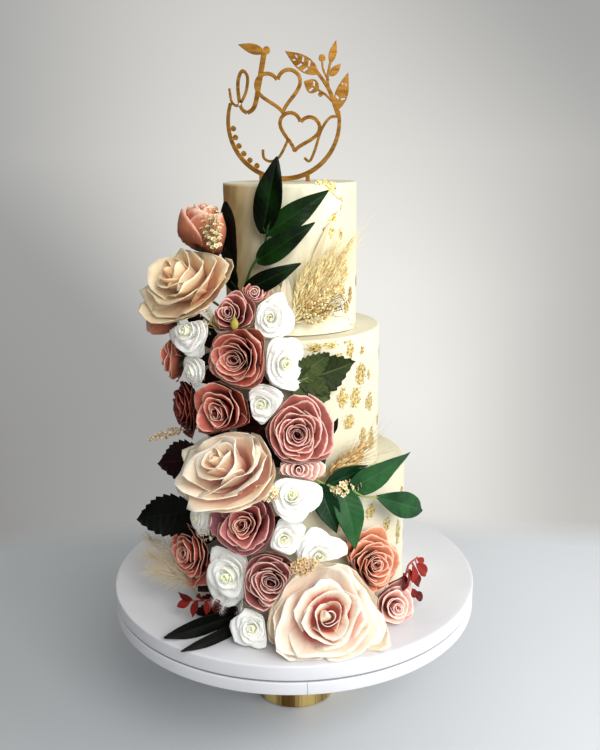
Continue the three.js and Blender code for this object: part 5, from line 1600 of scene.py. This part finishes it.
def sprig_piece(name, finish, stem, leaves, *nodes):
    blades = [blade(number, *leaf) for number, leaf in enumerate(leaves)]
    points, faces = piled([part[:2] for part in blades])
    carried = {label: np.concatenate([part[2][label] for part in blades]) for label in BLADE_LABELS}
    sheet = make_piece(name + "_blades", points, faces, LEAF_LOOKS[finish], carried=carried)
    parts, carried = taken_apart(thickened(sheet, BLADE_THICK), BLADE_LABELS)
    points, faces = piled([parts, *stalks_of(stem, leaves)])
    on_blades = len(parts[0])
    on_stalks = len(points) - on_blades
    for label in BLADE_LABELS:
        carried[label] = np.append(carried[label], np.full(on_stalks, 0.5 * (label != "across")))
    carried["stem"] = np.repeat([0.0, 1.0], [on_blades, on_stalks])
    piece = make_piece(name + "_leaves", points, faces, LEAF_LOOKS[finish], carried=carried)
    return dress(piece, finish, *nodes)


sprigs = made(sprig_piece, SPRIGS, GAP_LEAVES)
print(len(sprigs), "sprigs and leaves")

# %% [markdown]
# Dried ears and plumes all follow one plan: a stalk, grains set round it on a spiral, and fine hairs that
# stand out of the spiral and lean towards the tip. Wheat has fat grains and stiff awns, pampas has hardly
# any grain and a mist of hairs. One tree makes them all, standing upright. Each is then bent a little,
# turned and put in its place. Each kind of ear is one column of numbers.

# %% The growing rule of an ear
EAR_KINDS = kinds_of(("wheat", "bloom", "awned", "plume", "beaded", "wisp"), {
    "Width": (0.008, 0.013, 0.013, 0.012, 0.008, 0.004),
    "Start": (0.28, 0.25, 0.26, 0.12, 0.3, 0.05),
    "Grains": (44, 64, 84, 40, 40, 1),
    "Grain length": (0.0074, 0.0034, 0.0085, 0.0035, 0.0034, 0.001),
    "Grain width": (0.0016, 0.0022, 0.0019, 0.0007, 0.0026, 0.0002),
    "Grain lean": (0.42, 1.1, 0.42, 0.7, 1.0, 0.3),
    "Hairs": (40, 34, 40, 460, 30, 150),
    "Hair length": (0.034, 0.008, 0.042, 0.017, 0.005, 0.006),
    "Hair width": (0.00026, 0.0002, 0.00028, 0.00013, 0.00015, 0.00006),
    "Hair lean": (0.26, 0.8, 0.34, 0.62, 0.9, 0.8),
    "Droop": (0.2, 0.2, 0.2, 0.35, 0.2, 0.6),
})
EAR_INPUTS = {**EAR_KINDS["wheat"], "Length": 0.08, "Seed": 1}
GOLDEN_TURN = 2.39996
STALK_TOP, STALK_FOOT = 0.3 * MM, 0.9 * MM


def ear_tree():
    g = Growth("dried_ear", EAR_INPUTS)
    given, index = g.given, g.index

    def spiral(count, shift):
        """Seats up the ear, with their share up it, the angle round it and the swell there."""
        share = (index + 0.5) / count
        around = index * GOLDEN_TURN + g.drawn(index, shift) * 0.4
        swell = ((share * 0.85 + 0.1) * math.pi).sin().at_least(0.05)
        out = given["Width"] * 0.32 * swell
        up = given["Length"] * (given["Start"] + (1 - given["Start"]) * share)
        spot = g.vector(out * around.cos(), out * around.sin(), up)
        return g.moved(g.box("GeometryNodeMeshLine", count), Position=spot), share, around, swell

    def set_out(seats, thing, around, lean, scale, shift, hair):
        """The thing on every seat, leaning outwards, with its tone and whether it is a hair."""
        aim = g.vector(lean.sin() * around.cos(), lean.sin() * around.sin(), lean.cos())
        things = g.planted(seats, thing, Rotation=g.facing(aim), Scale=scale)
        return g.carry(g.carry(things, "tone", g.drawn(index, shift), "INSTANCE"), "hair", hair, "INSTANCE")

    seats, share, around, swell = spiral(given["Grains"], 3)
    lean = given["Grain lean"] * (1.15 - share) + g.drawn(index, 5) * 0.12
    size = swell * 0.4 + 0.6 + g.drawn(index, 6) * 0.15
    wide = given["Grain width"] * size
    grain = g.lifted(g.box("GeometryNodeMeshUVSphere", 7, 6, 0.5), 0.45)
    grains = set_out(seats, grain, around, lean, g.vector(wide, wide, given["Grain length"] * size), 7, 0.0)

    roots, share, around, _ = spiral(given["Hairs"], 13)
    lean = given["Hair lean"] * (1.2 - share * 0.7) + g.drawn(index, 15) * 0.1
    length = given["Hair length"] * (0.75 + g.drawn(index, 16) * 0.25)
    x, y, z = g.parts(g.here())
    strand = g.carry(g.cone(3, 6, 0.12, 1.0, 1.0, fill_type="NONE"), "along", z)
    thin = g.vector(given["Hair width"], given["Hair width"], length)
    hairs = g.real(set_out(roots, strand, around, lean, thin, 17, 1.0))
    [along] = g.recall("along")
    droop = given["Droop"] * along * along
    hairs = g.moved(hairs, Offset=g.vector(x * droop, y * droop))

    stalk = g.cone(7, 8, STALK_TOP, STALK_FOOT, given["Length"] * 0.97)
    stalk = g.carry(g.carry(stalk, "tone", 0.0), "hair", 0.5)
    return g.closed(g.smoothed(g.joined(grains, hairs, stalk)))


dried_ear = ear_tree()
print("the ear tree has", len(dried_ear.nodes), "boxes, for", ", ".join(EAR_KINDS))

# %% [markdown]
# The straw colours differ from piece to piece, but all are the same dry, dull stuff: one tint for the
# grains, with darker patches, another for the hairs, and a little different from grain to grain.

# %% Straw finishes
def straw_finish(name, grain, hair, dark):
    finish = Finish(name, 0.6)
    tone, part = finish.carried("tone", "hair")
    grain_tint = finish.steps(finish.noise(300, 3.0) + tone * 0.2, [(0.3, dark), (0.62, grain)])
    hair_tint = finish.blend(finish.spread(tone, -1, 1), hair, grain)
    finish.paint(finish.blend(part, grain_tint, hair_tint))
    finish.grain(finish.noise(900, 2.0), 0.3, 0.0004)
    return finish.material


STRAW = {
    "gold": straw_finish("straw_gold", (255, 244, 190), (250, 230, 172), (206, 158, 90)),
    "brown": straw_finish("straw_brown", (236, 206, 146), (186, 158, 100), (172, 130, 74)),
    "pampas": straw_finish("pampas_cream", (206, 186, 150), (238, 226, 198), (168, 140, 100)),
    "beads": straw_finish("dried_beads", (226, 206, 168), (238, 226, 198), (176, 138, 96)),
    "feather": straw_finish("feather_white", (244, 242, 236), (252, 251, 246), (220, 214, 204)),
}
print("straws:", ", ".join(STRAW))

# %% [markdown]
# The ears are set out spike by spike. Each grows upright, as long as its place asks, and is then bent and
# laid from its base to its tip. The white feather wisps low in the cascade come out of the same tree.

# %% Ears, plumes and wisps
# piece: slot, straw, and spikes as (kind, base, tip, sideways bend in mm)
EARS = {
    "wheat_bundle": ("straw", "gold", [
        ("wheat", (0, 72, 280), (46, 78, 350), 2), ("wheat", (0, 72, 280), (24, 78, 338), -2),
        ("wheat", (0, 73, 280), (35, 84, 332), 3), ("wheat", (-1, 72, 281), (11, 76, 329), 0),
        ("wheat", (1, 73, 280), (41, 80, 342), -3), ("wheat", (0, 73, 280), (30, 80, 345), 1),
        ("wheat", (0, 74, 279), (17, 80, 322), 2), ("wheat", (1, 75, 279), (34, 86, 318), 4),
        ("wheat", (-1, 73, 280), (6, 76, 312), 1), ("bloom", (1, 73, 279), (30, 86, 313), 2),
        ("bloom", (2, 74, 278), (26, 86, 293), 3), ("bloom", (1, 75, 279), (22, 87, 301), 0)]),
    "wheat_right": ("straw", "brown", [
        ("awned", (10, 107, 140), (40, 104, 162), 3), ("awned", (10, 108, 139), (34, 110, 154), 1)]),
    "pampas_left": ("plume", "pampas", [
        ("plume", (-46, 126, 34), (-70, 152, 58), 4), ("plume", (-44, 128, 26), (-56, 164, 44), 3),
        ("plume", (-46, 126, 30), (-63, 158, 50), 0)]),
    "spike_left": ("plume", "beads", [("beaded", (-52, 114, 178), (-68, 148, 162), 2)]),
}
WISPS = {
    "feather_wisps": ("plume", "feather", [
        ("wisp", (-25, 142, 42), (-29, 154, 33), 2), ("wisp", (-23, 143, 42), (-25, 156, 28), 1),
        ("wisp", (-20, 144, 42), (-18, 156, 32), -2)]),
}


def bent_to(points, base, tip, bend):
    """Bends an upright shape a little and lays it from base to tip."""
    start, end = place(base), place(tip)
    ahead = unit(end - start)
    side = unit(np.cross(ahead, unit(start * LEVEL)))
    over = np.cross(side, ahead)
    share = points[:, 2:3] / np.linalg.norm(end - start)
    return start + points @ np.stack([side, over, ahead]) + side * bend * MM * 4 * share * (1 - share)


def ear_piece(name, slot, straw, spikes, *nodes):
    parts, carried = [], {"tone": [], "hair": []}
    for number, (kind, base, tip, bend) in enumerate(spikes):
        inputs = {**EAR_KINDS[kind], "Length": float(np.linalg.norm(place(tip) - place(base))),
                  "Seed": 31 * number + 5}
        ear = grow(dried_ear, f"{name}_{number}", inputs, STRAW[straw])
        (points, faces), numbers = taken_apart(baked(ear), carried)
        parts.append((bent_to(points, base, tip, bend), faces))
        for label in carried:
            carried[label].extend(numbers[label])
    piece = make_piece(name + "_dried", *piled(parts), STRAW[straw], carried=carried)
    return dress(piece, slot, *nodes)


ears = made(ear_piece, EARS, WISPS)
print("ear faces:", [len(piece.data.polygons) for piece in ears])

# %% [markdown]
# Between the roses sit little sprays of dried blossom: florets of five cupped petals on stems as thin as
# thread. The seed mesh has one point per floret and carries the place of the stem's root. The tree puts a
# floret on every point, facing away from the root, and a thread from each floret back to the root.

# %% The growing rule of a spray
SPRAY_INPUTS = {"Floret": 0.0026, "Cup": 0.5, "Thread": 0.00022, "Seed": 1}
ROOT_LABELS = ("root_x", "root_y", "root_z")
PETALS_ROUND = 5


def spray_tree():
    g = Growth("blossom_spray", SPRAY_INPUTS)
    given, seeds = g.given, g.given["Geometry"]

    sheet, x, across = g.sheet(6, 5, 1.0, 2.0)
    along = x + 0.5
    half = ((along * 0.84 + 0.1) * math.pi).sin() * 0.42
    lift = given["Cup"] * along * (1.3 - along * 0.8) + across * across * 0.12
    petal = g.moved(g.carry(sheet, "along", along), Position=g.vector(along, across * half, lift))
    seats = g.box("GeometryNodeMeshLine", PETALS_ROUND, Offset=(0, 0, 0))
    spin = g.box("FunctionNodeEulerToRotation", g.vector(0.0, 0.0, g.index * (2 * math.pi / PETALS_ROUND)))
    petals = g.planted(seats, petal, Rotation=spin)
    bead = g.carry(g.lifted(g.box("GeometryNodeMeshUVSphere", 8, 6, 0.26), 0.16), "along", 0.0)

    away = g.box("ShaderNodeVectorMath", g.here(), g.vector(*g.recall(*ROOT_LABELS)), operation="SUBTRACT")
    size = given["Floret"] * (1 + g.drawn(g.index, 2) * 0.25)
    florets = g.planted(seeds, g.joined(petals, bead), Rotation=g.facing(away), Scale=size)
    florets = g.carry(florets, "tone", g.drawn(g.index, 3), "INSTANCE")

    reach = g.box("ShaderNodeVectorMath", away, operation="LENGTH", out="Value")
    thread = g.carry(g.lifted(g.cone(5, 3, 1.0, 0.7, 1.0), -1.0), "along", -1.0)
    thin = g.vector(given["Thread"], given["Thread"], reach)
    threads = g.planted(seeds, thread, Rotation=g.facing(away), Scale=thin)
    return g.closed(g.smoothed(g.joined(florets, threads)))


blossom_spray = spray_tree()
print("the spray tree has", len(blossom_spray.nodes), "boxes")

# %% [markdown]
# Dried blossom is paper-thin and dull: pale petals, a darker heart and a greenish thread. The florets of a
# spray are spread evenly over a flattened ball, each a little nearer to its middle than the ball's skin.
# Berries come out of the same tree.

# %% Sprays
DRY_STEM = (150, 140, 84)


def blossom_finish(name, petal, heart):
    finish = Finish(name, 0.65, Subsurface_Weight=0.08, Subsurface_Scale=0.002)
    along, tone = finish.carried("along", "tone")
    tint = finish.blend(finish.spread(along, 0.12, 0.5), heart, petal)
    tint = finish.blend(finish.spread(along, -0.1, -0.5), tint, DRY_STEM)
    speck = finish.noise(500, 2.0)
    finish.paint(finish.scaled(tint, finish.spread(speck + tone * 0.12, 0.25, 0.75, 0.84, 1.06)))
    finish.grain(speck, 0.3, 0.0003)
    return finish.material


BLOOMS = {
    "cream": blossom_finish("blossom_cream", (240, 226, 186), (206, 170, 96)),
    "blush": blossom_finish("blossom_blush", (240, 212, 190), (196, 132, 96)),
    "tan": blossom_finish("blossom_tan", (226, 196, 150), (176, 126, 76)),
    "berry": blossom_finish("berry_white", (246, 240, 228), (238, 226, 206)),
}
# piece: bloom, middle, spread sideways/out/up in mm, florets, root, floret radius in mm
SPRAYS = {
    "blossom_upper": ("cream", (-37, 112, 364), (11, 7, 20), 46, (-40, 106, 342), 2.3),
    "blossom_middle": ("cream", (-10, 138, 139), (12, 5, 8), 26, (-16, 124, 136), 2.9),
    "blossom_low": ("tan", (3, 152, 76), (13, 5, 9), 32, (1, 134, 74), 2.7),
    "blossom_right": ("cream", (23, 122, 132), (18, 4, 7), 34, (21, 112, 130), 2.8),
}
FILLER_SPRAYS = {
    "spray_gap_upper": ("blush", (-37, 124, 291), (4, 4, 17), 18, (-34, 112, 276), 1.7),
    "spray_gap_low": ("berry", (-34, 143, 92), (9, 5, 7), 16, (-30, 128, 92), 1.7),
    "spray_wheat": ("tan", (30, 84, 296), (14, 6, 12), 40, (4, 74, 280), 1.9),
}


def spray_piece(name, bloom, middle, spread, count, root, floret, *nodes):
    turn = math.radians(middle[0])
    frame_here = np.array([(math.cos(turn), math.sin(turn), 0), (math.sin(turn), -math.cos(turn), 0), UP])
    chance = np.random.default_rng(len(name))
    i = np.arange(count)
    height = 1 - 2 * (i + 0.5) / count
    flat = np.sqrt(1 - height**2)
    shrink = 0.55 + 0.4 * chance.random(count)
    ball = np.stack([flat * np.cos(i * GOLDEN_TURN), flat * np.sin(i * GOLDEN_TURN), height], axis=1)
    seeds = place(middle) + (ball * np.array(spread) * MM * shrink[:, None]) @ frame_here
    roots = {label: np.full(count, part) for label, part in zip(ROOT_LABELS, place(root))}
    spray = grow(blossom_spray, name + "_florets", {"Floret": floret * MM, "Seed": 3}, BLOOMS[bloom],
                 seeds, roots)
    return dress(baked(spray), "blossom", *nodes)


sprays = made(spray_piece, SPRAYS, FILLER_SPRAYS)
print("spray faces:", [len(piece.data.polygons) for piece in sprays])

# %% [markdown]
# One small thing is left: a yellow-green bud between the upper roses, turned like a wooden bead, with five
# soft ribs where its closed sepals meet.

# %% Bud
BUD_PROFILE = [(0, -5.5), (1.2, -5.3), (2.6, -4), (3.4, -1.5), (3.3, 1), (2.4, 3.4), (1.4, 5),
               (0.9, 6.4), (0, 6.6)]
BUD_AT = (-24, 121, 285)
BUD_SIDES = 24

bud_green = Finish("bud_yellow_green", 0.5)
ripe = bud_green.noise(140, 3.0)
bud_green.paint(bud_green.steps(ripe, [(0.3, (132, 120, 40)), (0.7, (178, 162, 66))]))
bud_green.grain(ripe, 0.3, 0.0004)
profile = [(r * MM, z * MM) for r, z in BUD_PROFILE]
small_bud = turned("bud_green", profile, bud_green.material, BUD_SIDES)
bud_points = points_of(small_bud.data)
ribs = 1 + 0.07 * np.sin(5 * np.arctan2(bud_points[:, 1], bud_points[:, 0]))
bud_points[:, :2] *= ribs[:, None]
set_points(small_bud, bud_points + place(BUD_AT))
dress(small_bud, "leaf_olive")
print("the bud has", len(small_bud.data.polygons), "faces")
